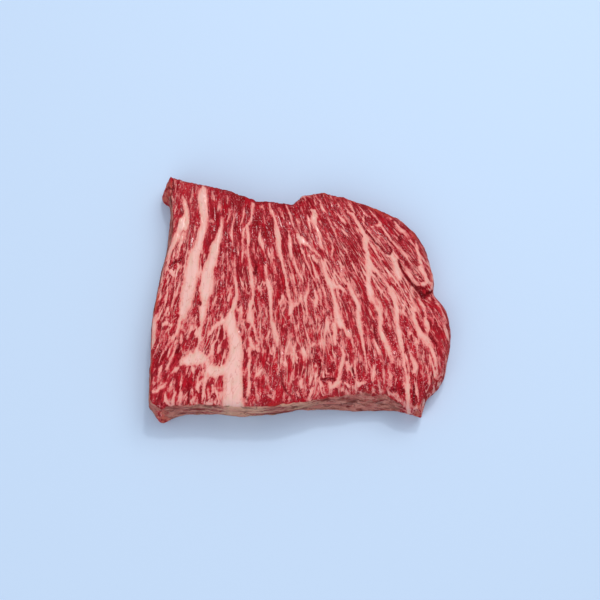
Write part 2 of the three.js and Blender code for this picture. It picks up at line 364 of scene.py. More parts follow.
# Seams that cross the middle, from the rear edge to the front.
MIDDLE_SEAMS = Streaks(Tissue.FAT, 0.85, (
    ((-20.6, 61, 0.7), (-20, 57, 1), (-19, 54, 1.4), (-17.2, 50, 1.4), (-16.4, 45, 1.7), (-15.6, 40, 2),
     (-14.7, 36, 1.8), (-14.4, 31, 1.6), (-13.7, 26, 1.7), (-12.3, 20, 1.5), (-11.2, 15, 1.2),
     (-9.8, 10, 1.3), (-9.1, 5, 1), (-8.7, 0, 1.3), (-6.8, -5, 1.4), (-6, -9, 2.4), (-6.8, -13, 1.8),
     (-7.6, -15, 0.9)),
    ((-32, 61, 0.9), (-32.3, 55, 0.9), (-33, 50, 1), (-35, 46, 1.1), (-37.4, 43, 0.9), (-38.5, 38, 0.7),
     (-38, 32, 0.8), (-38, 26, 0.7), (-38.5, 20, 0.5)),
    ((-35, 46, 1), (-35.6, 42, 1.2), (-35, 37, 1), (-35, 31, 1), (-34.6, 25, 1), (-34, 19, 1),
     (-33.1, 14, 1.2), (-32, 8, 1.5), (-31.8, 2, 1.2), (-31.5, -4, 0.9), (-33, -9, 1.9),
     (-33.2, -14, 2.2), (-32.6, -19, 2.1), (-31, -23, 1.4), (-29.4, -27, 0.9), (-28.9, -32, 0.7)),
    ((-22.9, 18, 0.9), (-22.8, 10, 1.3), (-21.6, 5, 1.9), (-20, 1, 2.8), (-20, -4, 1.9), (-19.6, -9, 1.4),
     (-19, -14, 1.4), (-18.8, -19, 1.6), (-17.4, -24, 1.8), (-16.6, -28, 1.9), (-15.8, -32, 1.7),
     (-15.2, -36, 0.8)),
    ((-27, 42, 0.5), (-27, 37, 1.3), (-25.6, 32, 1.2), (-24.4, 28, 1), (-23.8, 23, 0.6)),
    ((-8, 42, 0.5), (-7.5, 37, 1), (-6.8, 31, 1.5), (-6, 26, 1.3), (-4.6, 22, 1), (-3.3, 18, 1.4),
     (-2, 13, 1.3), (-0.2, 10, 1.3), (1.2, 7, 0.8)),
    ((6, 56, 1), (9, 56, 1.8), (9.2, 53, 2.9), (8.4, 50, 2.7), (9.2, 46, 1.7), (10.8, 42, 1.6),
     (12, 38.5, 1.8), (12.8, 35, 1.2), (13.8, 31, 0.7), (14.6, 28, 0.5)),
    ((-2.6, 39.5, 0.8), (-1.2, 37, 2.2), (1, 34.6, 3), (3.4, 32.8, 1.8), (6, 30.6, 1.2), (8, 28.4, 1),
     (10.2, 26.5, 0.8), (12, 24, 0.5)),
    ((13.5, 22, 0.6), (15, 18.5, 1.6), (15.4, 14, 1.9), (16.6, 10, 2), (18.5, 6.5, 2.4), (21, 4.2, 2.2),
     (24.5, 3.6, 1.6), (27.5, 2, 1.4), (29.5, -1, 1)),
    ((20, 4, 2), (20.5, 0, 1.6), (21.5, -5, 1.6), (22.5, -10, 2.2), (23.7, -15, 2.9), (24, -19, 3.8),
     (26, -22, 3.2), (28.5, -25, 2), (30.3, -28, 1.6), (32, -32, 1.5), (33.7, -36, 0.8)),
    ((21.5, -22, 2.4), (22, -28, 2.1), (22, -34.5, 1.5)),
    ((16.4, -18, 0.9), (17, -21, 2), (16.5, -25, 1.9), (15, -29, 1), (15.5, -34, 0.8), (17, -38, 0.5)),
))

# The broad seams of the right half.
RIGHT_SEAMS = Streaks(Tissue.FAT, 0.85, (
    ((31, 55, 0.5), (34, 53.5, 1.5), (36, 49.5, 1.1), (38, 46, 1.6), (39.6, 42.5, 2), (42, 39, 2.2),
     (42.6, 35, 2.6), (42.3, 31, 2), (43.6, 27, 1.6), (43.6, 22, 2.3), (44.6, 17, 3.2), (44.6, 12, 2.2),
     (44, 6, 2.5), (44.6, 1, 3.2), (45.6, -4, 2.6), (48, -9, 1.9), (51, -13, 2), (51.4, -19, 1.9),
     (51.2, -26, 1.6), (53.3, -31, 2.3), (55.6, -36, 2.3), (57.2, -41, 1.6), (58.6, -47, 0.8)),
    ((45.5, 17, 2), (49, 14.6, 2.4), (52, 11.6, 2), (54.7, 7.5, 1.6), (57.2, 3.5, 1.5), (59.2, -1, 2),
     (61, -6, 1.8), (62.4, -12, 2), (62.2, -19, 2.2), (63, -26, 2.2), (64.2, -33, 2), (65.3, -40, 1.5),
     (66.2, -47, 1.2), (67.2, -55, 1.5), (68.2, -61, 2), (68, -66, 1.9), (69, -73, 1.8), (69, -82, 1.9)),
    ((56, 25, 1), (59, 25, 2.2), (61.6, 22, 2.8), (62, 18, 2.5), (62.8, 14, 3.1), (64.2, 10.6, 2.8)),
    ((30, 6, 1), (32.4, 1, 1.4), (34.8, -4, 1.6), (37.2, -9, 2), (37.2, -15, 1.8), (37.5, -21, 1.7),
     (38.6, -26, 1.7), (39.6, -31, 1.4), (40.4, -37, 1), (41.4, -44, 0.8), (41.8, -50, 0.9),
     (42, -55, 0.7)),
    ((72.5, -13, 1.5), (73.6, -19, 2.1), (75.4, -24, 2), (77.5, -28, 2.2), (80, -31.5, 2.4),
     (82.5, -36, 1.7), (84.8, -40, 1.5), (86, -44, 1.3), (86.8, -49, 0.8)),
    ((75.5, 35, 0.8), (76.5, 30, 1.3), (77.6, 25, 1.2), (78.6, 20, 1.5)),
    ((25, 51, 0.8), (27, 49.4, 1.4), (30, 47.5, 1.3), (32, 46, 0.5)),
    ((62, 48, 0.6), (63.8, 45, 0.9), (66, 42.6, 1.6), (68.3, 40.8, 1.2), (70, 38, 0.6)),
    ((46.5, -32, 0.6), (48, -35, 1.2), (49.5, -38.5, 1.2), (51, -42, 0.6)),
    ((45.6, -44, 0.7), (46.5, -49, 1.1), (46.8, -54, 1.5), (46.4, -59, 1.2)),
    ((26, -37, 0.6), (27.4, -42, 1.2), (26.8, -47, 1.4), (25.2, -52, 1.5), (24.2, -57, 1.7),
     (22.5, -61, 2)),
    ((71, -42, 0.7), (72.6, -46, 1.9), (74, -50, 1.7), (72.6, -53, 0.8)),
    ((93, -22, 1), (94.4, -26, 1.7), (95.5, -31, 1.4)),
    ((80.5, -17, 0.8), (81.8, -21, 1.8), (82.6, -26, 1.2)),
    ((67, 20.4, 0.8), (69, 15.5, 1), (71.2, 11, 1.2), (74.6, 6.4, 1.5), (78.4, 5, 1.4), (81.6, 6, 1.7),
     (82.4, 9, 1.9), (80.4, 13.6, 2.6), (78.8, 17, 2.2)),
    ((84.6, 18.3, 0.7), (86.4, 12.3, 1.1), (86.4, 5.5, 1.1), (84.4, 1.8, 0.8)),
    ((50.3, 49, 0.9), (52.4, 46.6, 1.4), (50, 45, 1), (46, 44.6, 0.9)),
))

# Finer seams and threads.
REAR_THREADS = Streaks(Tissue.FAT, 0.7, (
    ((-86.5, 71, 0.5), (-85.8, 67, 1.1), (-84.8, 63, 0.6)),
    ((-71.6, 71, 0.4), (-72, 66, 0.5), (-73.4, 62, 0.8)),
    ((-58.8, 69, 0.5), (-58.2, 66, 0.9), (-57.4, 63, 0.6)),
    ((-54, 62, 0.4), (-54.2, 57.5, 1.1), (-54.4, 55.5, 0.7)),
    ((-59.4, 49, 0.7), (-58, 47.6, 1.1)),
    ((-48.5, 66, 0.4), (-49, 61, 0.6)),
    ((-47.5, 58, 0.4), (-47.2, 53, 0.5), (-48.6, 48, 0.7)),
    ((-44.4, 57, 0.4), (-44.4, 50, 0.7), (-45.2, 44, 1), (-46, 39, 1.4), (-45.2, 35, 0.7), (-45, 31, 0.4)),
    ((-37.6, 60, 0.4), (-37.5, 54, 0.7), (-38.6, 50, 0.6), (-39.6, 46, 0.4)),
    ((-48, 27, 0.4), (-47.6, 21, 0.7), (-47.4, 15, 0.9), (-48.2, 9, 0.7), (-49.2, 2, 0.4)),
    ((-46.4, 4, 0.6), (-46.4, -1, 1), (-47, -6, 0.5)),
    ((-43, 25, 0.4), (-43.4, 18, 0.6)),
    ((-41, 31, 0.3), (-41, 24, 0.5)),
    ((-31.2, 33, 0.3), (-31, 29, 0.6), (-30.2, 25, 0.6), (-29.4, 20, 0.3)),
    ((-24.6, 55, 0.4), (-24.5, 50, 0.5), (-24, 47, 0.4)),
    ((-22.6, 54, 0.4), (-21.4, 50, 0.4)),
    ((-26.6, 59, 0.8), (-25, 57, 0.7)),
    ((-21.6, 31, 0.4), (-21.5, 26, 0.8), (-20, 21, 0.7), (-18.3, 17, 0.7), (-17.4, 12, 0.8),
     (-17, 6, 0.8)),
    ((-19, 27, 0.5), (-18.8, 22, 0.6), (-16.8, 17, 0.6), (-15.6, 12, 0.4)),
    ((-10, 60, 0.4), (-8.6, 56, 0.5), (-7, 53, 1), (-6.2, 50, 1.1), (-5, 46, 0.8), (-3.4, 42, 0.5)),
    ((-9.6, 51, 0.4), (-9.4, 46, 0.5)),
    ((-14.4, 58, 0.4), (-12.6, 52, 0.4)),
    ((-12.4, 55, 0.3), (-11, 50, 0.4)),
    ((-2.8, 50, 0.9), (-1.5, 48.5, 1.3), (-1, 45, 0.8), (0, 41, 0.5)),
    ((4, 53, 0.5), (4.8, 49, 1.6), (5.6, 45.6, 1.4), (6.8, 42, 0.5)),
    ((-2.6, 66, 0.4), (2.6, 66, 0.9), (3, 62.6, 0.7)),
    ((8.4, 65, 0.4), (9.8, 61.5, 0.5)),
    ((12.8, 60.6, 0.5), (14.2, 57.6, 1.5), (15.8, 55.4, 0.9), (17.2, 53.6, 0.4)),
    ((12, 48.6, 0.5), (14, 44.4, 0.6), (16.6, 40.4, 0.7), (19.2, 36.2, 0.8), (21, 32.6, 1),
     (20.8, 28.4, 1.4), (20.6, 25.4, 0.8)),
    ((17.4, 50.6, 0.5), (19.2, 47, 0.5), (21, 43, 0.6), (22.8, 39, 0.6), (24.4, 35.6, 0.5)),
    ((22.4, 55.4, 0.5), (24, 52.4, 0.6), (26, 50.4, 1)),
    ((24.4, 62, 0.5), (26.2, 58.6, 0.7), (28.2, 54.6, 0.8), (30, 51, 0.7)),
    ((21.6, 47.6, 0.4), (24, 44.6, 0.5), (26.6, 42.4, 0.7), (29.2, 40.2, 1.1), (31, 38, 0.6)),
    ((15.4, 34, 0.5), (16.6, 30, 0.9), (17.2, 26.6, 0.7)),
    ((28.4, 61, 0.4), (30.6, 57, 0.7), (32, 54.6, 0.7)),
    ((31.4, 62, 0.4), (33.2, 58.4, 0.8), (35.4, 54.8, 0.6)),
    ((36.8, 60.4, 0.5), (40.4, 56.6, 0.7), (43.2, 53.2, 0.8), (46.2, 50.4, 0.6)),
    ((41.4, 52.4, 0.8), (41.4, 49, 1), (41.6, 46, 0.7)),
    ((46, 55, 0.5), (48.4, 52.6, 0.7), (50, 49.6, 0.8)),
    ((57.4, 51.6, 0.6), (59.8, 50.4, 0.8)),
    ((54, 44.4, 0.8), (55.6, 41, 0.9), (57.6, 38.2, 0.8), (59, 35.6, 0.6)),
    ((43.6, 43, 0.6), (46.2, 39.6, 0.9), (48.6, 36.4, 0.8), (51, 33.4, 0.9), (53.4, 30.6, 0.6)),
    ((46.4, 33, 0.5), (48.6, 30.6, 0.9), (51.2, 28.4, 0.9), (54.4, 26, 0.9)),
    ((51, 37.6, 0.6), (53.6, 38, 0.7), (56, 35.6, 0.9), (58.4, 31.6, 1), (60, 27.8, 0.7)),
    ((60.6, 34.6, 0.5), (63.4, 31.4, 0.8), (65.4, 28.8, 0.8), (67.4, 26.4, 1.1), (69.4, 23.8, 0.8)),
    ((61.4, 39, 0.4), (64, 36.4, 0.5)),
    ((70, 40, 0.5), (72, 36, 0.6), (74, 32, 0.6)),
    ((50, 25.4, 0.6), (52.4, 23, 1.2), (54.6, 21.4, 0.8), (57.4, 19.4, 0.7), (59.4, 16.6, 0.7)),
))

# The same towards the front cut.
FRONT_THREADS = Streaks(Tissue.FAT, 0.9, (
    ((-86.8, 15, 1.4), (-84.6, 13.4, 2), (-82.8, 11, 1.2)),
    ((-86.6, 4.4, 0.7), (-87, 1.4, 0.9)),
    ((-86.8, -1, 0.6), (-87.6, -5, 0.9), (-88.8, -10, 0.5)),
    ((-86.6, -11, 0.6), (-87.4, -16, 0.8)),
    ((-93.8, -15, 1.6), (-94.6, -21, 1.9), (-94.4, -27, 1.9), (-94.8, -33, 1.6), (-95.4, -39, 0.8)),
    ((-89, -22, 0.9), (-86, -21, 1.5), (-83.6, -22.4, 1)),
    ((-76.6, -28, 0.6), (-77.2, -32, 1.2), (-79.4, -36.4, 0.9)),
    ((-80.8, -37, 0.6), (-82.4, -42, 0.8), (-84, -47, 0.6), (-86, -51, 0.8)),
    ((-58.6, -28, 1.2), (-56.8, -24.4, 1.6), (-53.6, -21.6, 1.5), (-50, -19.4, 1.8)),
    ((-52.6, -35.6, 0.7), (-52.8, -40, 0.9)),
    ((-49, -37.6, 0.7), (-49.2, -43, 0.8)),
    ((-57.6, -35.6, 0.5), (-58.6, -41, 1.1), (-60, -46, 1)),
    ((-38.8, -9.6, 0.6), (-38.6, -14, 0.9), (-38.4, -19, 0.6)),
    ((-27.4, 3.6, 0.6), (-27.2, 0, 0.7)),
    ((-27.4, -8, 0.5), (-26.4, -13, 0.7), (-28.2, -18, 0.8)),
    ((-3.2, 3.6, 0.7), (-3.2, -1, 1.1)),
    ((4.6, 5.6, 1), (4.6, 1, 1.1), (3.6, -2, 0.7), (2.4, -5, 0.9), (3.6, -10, 0.8), (4, -15, 0.8),
     (3, -20, 0.6)),
    ((1.4, 27.6, 0.5), (2.6, 23.6, 0.7), (4.6, 18.6, 0.8), (6.2, 13.6, 0.8), (8.4, 9, 0.8),
     (10.4, 5, 0.7), (12.8, 0.6, 0.7), (14.2, -3.6, 0.5)),
    ((0, 29, 0.8), (1, 26.4, 0.9)),
    ((8, 24.4, 1), (8.8, 22.4, 1.5), (10.2, 20.2, 0.9)),
    ((7, 20, 0.4), (9, 14.6, 0.7), (10, 11, 0.9), (12.4, 6.4, 0.7), (14.6, 1.4, 0.7), (15.8, -3.4, 0.9),
     (16.8, -8, 1.1), (17.2, -13, 0.9)),
    ((9.4, 0, 1), (9.8, -5, 1.4), (9.2, -9.4, 1.1)),
    ((-5.6, -10, 0.9), (-1.4, -8, 0.7), (-0.4, -4, 0.5)),
    ((26.4, 13, 1.2), (27.6, 9, 1.6), (29.6, 5.4, 1.2)),
    ((22, 20, 0.5), (24.4, 15.6, 0.6), (26.6, 11.6, 0.6)),
    ((24, -1.6, 0.6), (24.8, -4.6, 0.8)),
    ((-3.6, -41, 0.5), (-2.6, -43.6, 1.2)),
    ((1.6, -38, 0.5), (2.4, -42, 1.1)),
    ((9.8, -45, 0.7), (9.4, -49, 1.3)),
    ((8, -53, 0.8), (6.2, -57.6, 1.9), (5.8, -61, 1.2)),
    ((7.4, -63.6, 0.7), (6.8, -66, 1.6), (4.8, -69.4, 1.4), (5.4, -73, 1.2)),
    ((4.4, -29.6, 0.6), (5.2, -32, 1.2), (6.2, -36, 0.8)),
    ((-7.6, -30, 0.4), (-7.8, -34, 0.9), (-7, -38, 0.5)),
    ((-32.8, -31, 0.9), (-32, -35, 1.4), (-30.4, -38, 1)),
    ((-33.4, -38, 0.9), (-32.8, -44, 1.2), (-33.4, -52, 1.1), (-33, -60, 1.3), (-33.6, -67, 1.5),
     (-34.6, -72, 0.8)),
    ((-29.6, -57, 0.6), (-27.6, -54, 1.5), (-25.6, -52, 1.3)),
    ((-29.8, -60, 0.3), (-28.6, -66, 0.5), (-27.2, -70.6, 0.5)),
    ((-21.6, -58, 0.3), (-20.4, -63, 0.4), (-17.4, -67.6, 0.4)),
    ((-24, -62, 0.3), (-21.6, -68, 0.6), (-17.6, -70.4, 0.6), (-16.4, -66, 0.4)),
    ((-5, -65, 0.4), (-2.4, -66.6, 0.5), (-0.6, -70, 0.5)),
    ((0.6, -57.6, 1), (-1, -60.4, 2), (0, -63, 1)),
    ((11.4, -57, 0.6), (12.6, -61.6, 1.3), (11.8, -66, 0.7)),
    ((16.4, -53.6, 1), (18, -54.2, 0.6)),
    ((17.8, -59.6, 0.8), (19.4, -63, 1.8), (22, -61.6, 1.8), (25, -59.4, 1.4)),
    ((34.4, -58, 0.8), (37, -61.6, 1.7), (40.4, -60, 1.1)),
    ((28, -60.4, 0.9), (31, -63, 0.8)),
    ((-12.6, -41, 0.4), (-11.6, -46, 0.6), (-9.8, -49.6, 0.5)),
    ((51, 2.6, 0.9), (52.6, 0, 1.3)),
    ((67.4, -3.6, 0.7), (68, -8, 1), (66.6, -13, 1.6), (68.8, -16, 0.8)),
    ((70.6, -1, 0.5), (72, -4.4, 0.9), (73.6, -8.4, 1.1), (75.4, -12, 0.7)),
    ((69.4, -25, 0.8), (70.6, -28, 1.3)),
    ((88, -3.4, 0.5), (91.2, -11.4, 0.8), (94.8, -20, 0.9)),
    ((76.4, -4.8, 1), (80, -10.4, 1.3), (81.8, -16, 0.9)),
    ((34.6, -46, 0.7), (35, -52, 0.9), (35.6, -57, 0.7)),
    ((29.6, -47, 0.8), (30, -54, 0.7)),
    ((61.6, -41, 0.5), (63, -46, 0.8), (64.2, -50.6, 0.4)),
    ((74.4, -31, 0.5), (75, -38, 0.6)),
    ((80.4, -49, 0.6), (82, -55, 1), (82.6, -61, 0.9)),
    ((87, -52, 0.9), (88, -57, 0.9)),
    ((56, -58, 0.8), (57, -62, 1.1)),
    ((-91, -50, 0.6), (-90.4, -57, 0.9)),
    ((-86.6, -60.4, 0.9), (-88.4, -62.6, 1.6), (-91, -65, 1.1), (-94, -66, 1.6)),
    ((-89.8, -49.6, 0.8), (-90.6, -54, 0.9), (-91.4, -58.6, 1)),
    ((-86.6, -67, 0.7), (-85.8, -71, 1.6), (-84, -75, 1.3)),
    ((-80, -66, 0.7), (-81.6, -71, 1.3), (-82.4, -75.4, 1)),
    ((-76.8, -64.6, 0.8), (-76, -70, 1.2), (-77, -74.6, 0.9)),
    ((-69.6, -63.6, 0.6), (-68.4, -70, 0.9)),
    ((-65.4, -60.6, 1), (-66.2, -63.6, 1.5), (-64.8, -66, 0.9)),
    ((-59.6, -63.6, 0.6), (-58.4, -70, 0.8)),
    ((-56.4, -61.6, 1), (-55.6, -65.6, 1.1)),
))

# Islands of lean inside the fat.
LEAN_ISLANDS = Streaks(Tissue.LEAN, 1.2, (
    ((-67.2, -1, 1.2), (-68, -6, 1.6), (-69.4, -11, 1.4), (-70, -15, 1.2)),
    ((-66.4, -5, 0.8), (-65.6, -8, 0.8)),
    ((-59, 38, 1), (-60.4, 34, 0.9), (-62, 29, 1.1), (-63.2, 24, 1), (-64.4, 19, 0.8), (-65, 15, 0.4)),
    ((-76.6, 39, 2.4), (-76, 34, 2.6), (-76.4, 29, 2)),
    ((-77, -49, 0.6), (-76, -54, 1.1), (-74, -60, 1.4), (-72.4, -66, 1.4), (-72, -73, 1.2)),
    ((-76.4, -35.4, 0.8), (-78.6, -38, 1.4), (-78.4, -43, 1.3), (-79.4, -48.6, 1)),
    ((-71.6, -50.6, 0.5), (-70.4, -50.4, 0.6)),
    ((-68, -49.6, 0.7), (-68, -55, 1.3), (-68.6, -60, 1)),
    ((-62.4, -49, 0.9), (-63.4, -55, 1.2), (-64, -60, 0.6)),
    ((-53, -47.6, 0.7), (-53.6, -44, 1.2), (-51.6, -44, 1)),
    ((-50.4, -25, 0.6), (-49.4, -30, 1), (-47.8, -35, 0.8), (-47, -38, 0.7), (-47.6, -42, 0.7),
     (-50, -46, 0.9)),
    ((-52.4, -57, 0.9), (-55.6, -59.4, 0.9)),
    ((-50.6, -60, 0.8), (-51.2, -66, 0.7), (-51.8, -72, 0.6)),
    ((21.8, 1, 0.6), (23, -3, 0.8), (25.4, -5, 1.2), (28, -8, 1.4), (30.6, -12, 1.6)),
    ((26.6, -13.4, 0.6), (28.4, -17, 1.3), (30.2, -22, 1.2), (31, -25, 0.7)),
    ((25, -27.6, 0.5), (25.6, -30, 1.2), (26, -35, 1.4)),
    ((28, -29, 0.6), (30.4, -33, 1.1), (31.6, -38, 1.2), (32, -45, 1.2), (33, -52, 1.2)),
    ((44.4, -7.6, 1.2), (46, -10, 1.8), (46.6, -14, 1.6)),
    ((50.4, 7.4, 1.6), (51.4, 5.4, 1.4), (53, 2.6, 1)),
    ((49.8, 0, 0.8), (51.4, -4, 1), (53.6, -7, 1.2), (55.6, -11, 1.5), (57.6, -15, 1.4)),
    ((55, 19, 1.1), (57, 15.4, 1.3), (58.8, 11.6, 1)),
    ((47, 25, 1), (48.6, 21, 1.3), (51, 17, 1.3), (53.6, 13, 1.3), (56, 9.4, 1.3), (58.4, 5, 1.1)),
    ((36, 36, 1.2), (38.4, 31, 1.5), (40.6, 28, 0.9)),
    ((33, 47, 1.6), (35.2, 44, 1.7), (36, 41, 1.4)),
    ((42, 48.6, 0.6), (45.6, 48.4, 2), (49.2, 47.4, 1.2)),
    ((48.6, 43.4, 1.3), (51, 42.2, 1.6), (53, 42, 1)),
    ((58, 48, 2.2), (58, 44.4, 2), (60.6, 41, 1.2)),
    ((66.4, 38.4, 1.6), (69.4, 34, 2.6), (71.6, 29, 2.8), (73.8, 25, 1.8), (75.4, 21, 0.9)),
    ((80, 28, 1.1), (81, 23, 1.3), (82.2, 18.6, 1.3), (83.6, 14, 1.4), (84.2, 9.6, 1)),
    ((63.4, 27, 0.5), (66, 24, 0.8), (69.2, 19.4, 1.3), (72.6, 14.6, 1.3), (75.6, 9.8, 1.1),
     (79.2, 8.8, 1.2)),
    ((83, -6, 1.2), (86, -12, 1.8), (89.2, -20, 1.8)),
    ((64, 21, 0.5), (65.4, 16.6, 0.7), (67.4, 12.4, 0.8), (69.4, 9.4, 1), (72.2, 6, 1.1),
     (75.6, 2.4, 1.3)),
    ((-86.2, -28, 3), (-87.2, -34, 3.4)),
    ((-68, 52, 1.6), (-69, 47, 1.2)),
))

# Folds and cracks that the light doesn't reach: the relief sinks them and the colour darkens them with
# painted shade.
CREASES: tuple[Path, ...] = (
    ((-13.2, -53, 0.3), (-11.6, -60, 0.6), (-9, -66, 0.5), (-6, -69, 0.3)),
    ((-37, -56, 0.3), (-36.2, -62, 0.4), (-36.2, -68, 0.4), (-34, -71.6, 0.5)),
    ((64, 22, 0.4), (65.4, 17, 0.5), (67.6, 12.4, 0.6), (70, 9, 0.6), (73, 5.4, 0.7), (76.4, 1.6, 0.9),
     (80.4, -2.6, 1.5)),
    ((80.4, -2.6, 1.3), (83, -0.6, 0.8), (86.4, 0.8, 0.7)),
    ((72.4, 4.6, 0.3), (77.4, 2.4, 0.4), (82.4, 3, 0.4)),
    ((83, -28.6, 0.5), (85.4, -32, 0.6), (87.6, -36, 0.4)),
    ((72.6, -62, 0.5), (72.8, -70, 0.6), (72.2, -75, 0.5)),
    ((64, -63.4, 0.6), (65.6, -66.4, 0.8), (64.4, -68, 0.5)),
    ((59, -64.6, 0.6), (61, -65.6, 0.6)),
    ((-72, -60, 0.4), (-71.8, -68, 0.5), (-71.6, -74, 0.5)),
    ((-78.6, -35.6, 0.9), (-79.6, -40, 0.8)),
    ((43, 41.3, 0.2), (48.2, 35.2, 0.3), (53.1, 29.8, 0.3), (58.3, 25.6, 0.5), (59.6, 28.5, 0.4),
     (56.4, 33.5, 0.2)),
    ((66.5, 25, 0.2), (69.5, 21, 0.3), (72.4, 16, 0.3), (74.6, 12, 0.3), (78.4, 10.6, 0.3)),
    ((-29.6, 17, 0.8), (-29.8, 12, 0.6)),
    ((-66.2, -6.6, 0.5), (-65, -8.4, 0.5)),
    ((47.6, -24, 0.5), (48.2, -29, 0.6), (49, -33, 0.7)),
    ((32.4, -50, 0.7), (33.2, -53, 0.5)),
    ((-79, 22, 0.6), (-81, 20.6, 0.8), (-83.6, 19.6, 0.6)),
    ((14.2, -58, 0.5), (17, -57, 0.7), (21, -57.6, 0.6)),
    ((11.6, -46, 0.4), (12.6, -51, 0.6), (11.6, -55, 0.4)),
    ((65, 38, 0.9), (66.6, 36, 0.6)),
    ((30, 47.6, 0.4), (31.4, 45, 0.4)),
    ((-85.6, 78, 0.4), (-85.2, 71, 0.6), (-86.6, 66, 0.7), (-86, 62, 0.4)),
    ((-91, 72.6, 0.5), (-86, 71, 0.6)),
)

# Where the rim and the tips are rubbed orange and where flesh wraps over the sides: X, Y and reach.
ORANGE_RIMS: Path = ((16, 76, 15), (-96, -5, 10), (40, 72, 12), (57, 65, 12), (76, 52, 10), (92, 12, 9))
ORANGE_TIPS: Path = ((-93, 73, 7), (-90, -83, 6), (78, -78, 5))
FLESHY_TIPS: Path = ((-94, 75, 13), (-91, -84, 8), (72, -76, 10), (82, -75, 8))
PALE_WALLS: Path = ((-50, -77, 14), (-28, -77, 18), (-6, -76, 14))

# How the marbling changes from place to place: X, Y, reach, veining and pallor. Pallor lightens the lean,
# partly for its fine fat and partly as painted glints.
ZONES = tuple(Zone(*row) for row in (
    (-80, 68, 14, 0.08, 0.9), (-55, 62, 14, 0.0, 0.45), (-30, 52, 13, 0.0, 0.2), (-8, 54, 10, 0.1, 0.3),
    (16, 62, 10, 0.12, 0.15), (22, 46, 12, 0.07, 0.3), (45, 50, 13, 0.08, 0.25), (68, 36, 12, 0.1, 0.3),
    (-84, 25, 12, 0.42, 0.45), (-48, 30, 12, 0.14, 0.15), (-22, 25, 12, 0.1, 0.2),
    (0, 25, 11, 0.22, 0.25), (28, 22, 14, 0.26, 0.35), (55, 22, 12, 0.43, 0.45), (78, 15, 10, 0.36, 0.3),
    (-88, -8, 11, 0.26, 0.35), (-56, -8, 10, 0.2, 0.25), (-36, 0, 11, 0.23, 0.25),
    (-10, -2, 12, 0.19, 0.35), (12, -5, 12, 0.22, 0.4), (35, -5, 12, 0.2, 0.5), (62, -8, 12, 0.42, 0.5),
    (84, -14, 10, 0.15, 0.25), (-88, -33, 8, 0.2, 0.15), (-70, -30, 10, 0.26, 0.45),
    (-55, -35, 9, 0.3, 0.45), (-25, -22, 9, 0.25, 0.6), (-8, -22, 11, 0.15, 0.55),
    (8, -30, 11, 0.38, 0.7), (42, -28, 12, 0.1, 0.55), (70, -32, 12, 0.2, 0.45), (88, -38, 9, 0.2, 0.3),
    (-88, -58, 12, 0.11, 0.25), (-68, -65, 12, 0.34, 0.4), (-27, -44, 8, 0.2, 0.45),
    (-18, -48, 9, 0.2, 0.6), (-18, -66, 11, 0.06, 0.9), (0, -52, 9, 0.16, 0.3), (-3, -42, 6, 0.75, 1.0),
    (7, -57, 6, 0.46, 0.35), (18, -46, 8, 0.16, 0.2), (35, -50, 11, 0.26, 0.5), (60, -52, 12, 0.24, 0.45),
    (80, -60, 12, 0.3, 0.25),
))


def set_numbers(mesh: bpy.types.Mesh, name: str, values: np.ndarray) -> None:
    """Stores one number, or one vector, for each of a mesh's points."""
    kind, key = ("FLOAT_VECTOR", "vector") if values.ndim == 2 else ("FLOAT", "value")
    layer = mesh.attributes.new(name, kind, "POINT")
    layer.data.foreach_set(key, values.astype(np.float32).ravel())


def read_vectors(mesh: bpy.types.Mesh, name: str) -> np.ndarray:
    """Reads a vector, such as "co" or "normal", of each of a mesh's points."""
    flat = np.empty(len(mesh.vertices) * 3)
    mesh.vertices.foreach_get(name, flat)
    return flat.reshape(-1, 3)


def eased(values: np.ndarray, low: float, high: float) -> np.ndarray:
    """A smooth step from 0 at low to 1 at high, for arrays."""
    share = np.clip((values - low) / (high - low), 0, 1)
    return share * share * (3 - 2 * share)


def bells(points: np.ndarray, spots: Path) -> np.ndarray:
    """How near each point is to one of some spots, from 0 to 1."""
    near = [np.exp(-np.sum((points[:, :2] - (x, y)) ** 2, axis=1) / reach**2) for x, y, reach in spots]
    return np.max(near, axis=0)


def put_in_scene(name: str, data: bpy.types.ID) -> bpy.types.Object:
    """Makes an object of some data and links it to the scene."""
    made = bpy.data.objects.new(name, data)
    bpy.context.scene.collection.objects.link(made)
    return made


@dataclass(frozen=True)
class Grain:
    """The way the fibres run: how far they lean from the Y axis, at the middle and from side to side."""

    stations: tuple[Triple, ...] = (
        (80, 20, 0.3),
        (56, 20, 0.36),
        (42, 20, 0.39),
        (12, 15, 0.33),
        (-3, 9, 0.26),
        (-20, 4, 0.22),
        (-47, -2, 0.13),
        (-85, -3, 0.05),
    )
    step: float = 1.0

    def across(self, places: np.ndarray) -> np.ndarray:
        """Gives each fibre the X at which it crosses the middle.

        Args:
            places: X and Y of each point, in millimetres.

        Returns:
            The X of the point's fibre where Y is 0.
        """
        ys, leans, spreads = np.array(sorted(self.stations)).T
        levels = np.arange(ys[0], ys[-1] + self.step, self.step)
        lean = np.tan(np.radians(np.interp(levels, ys, leans)))
        spread = np.radians(np.interp(levels, ys, spreads))
        middle = np.argmin(abs(levels))
        growth = np.cumsum(spread) * self.step
        scale = np.exp(growth - growth[middle])
        shift = np.cumsum(scale * lean) * self.step
        shift -= shift[middle]
        return np.interp(places[:, 1], levels, scale) * places[:, 0] + np.interp(places[:, 1], levels, shift)


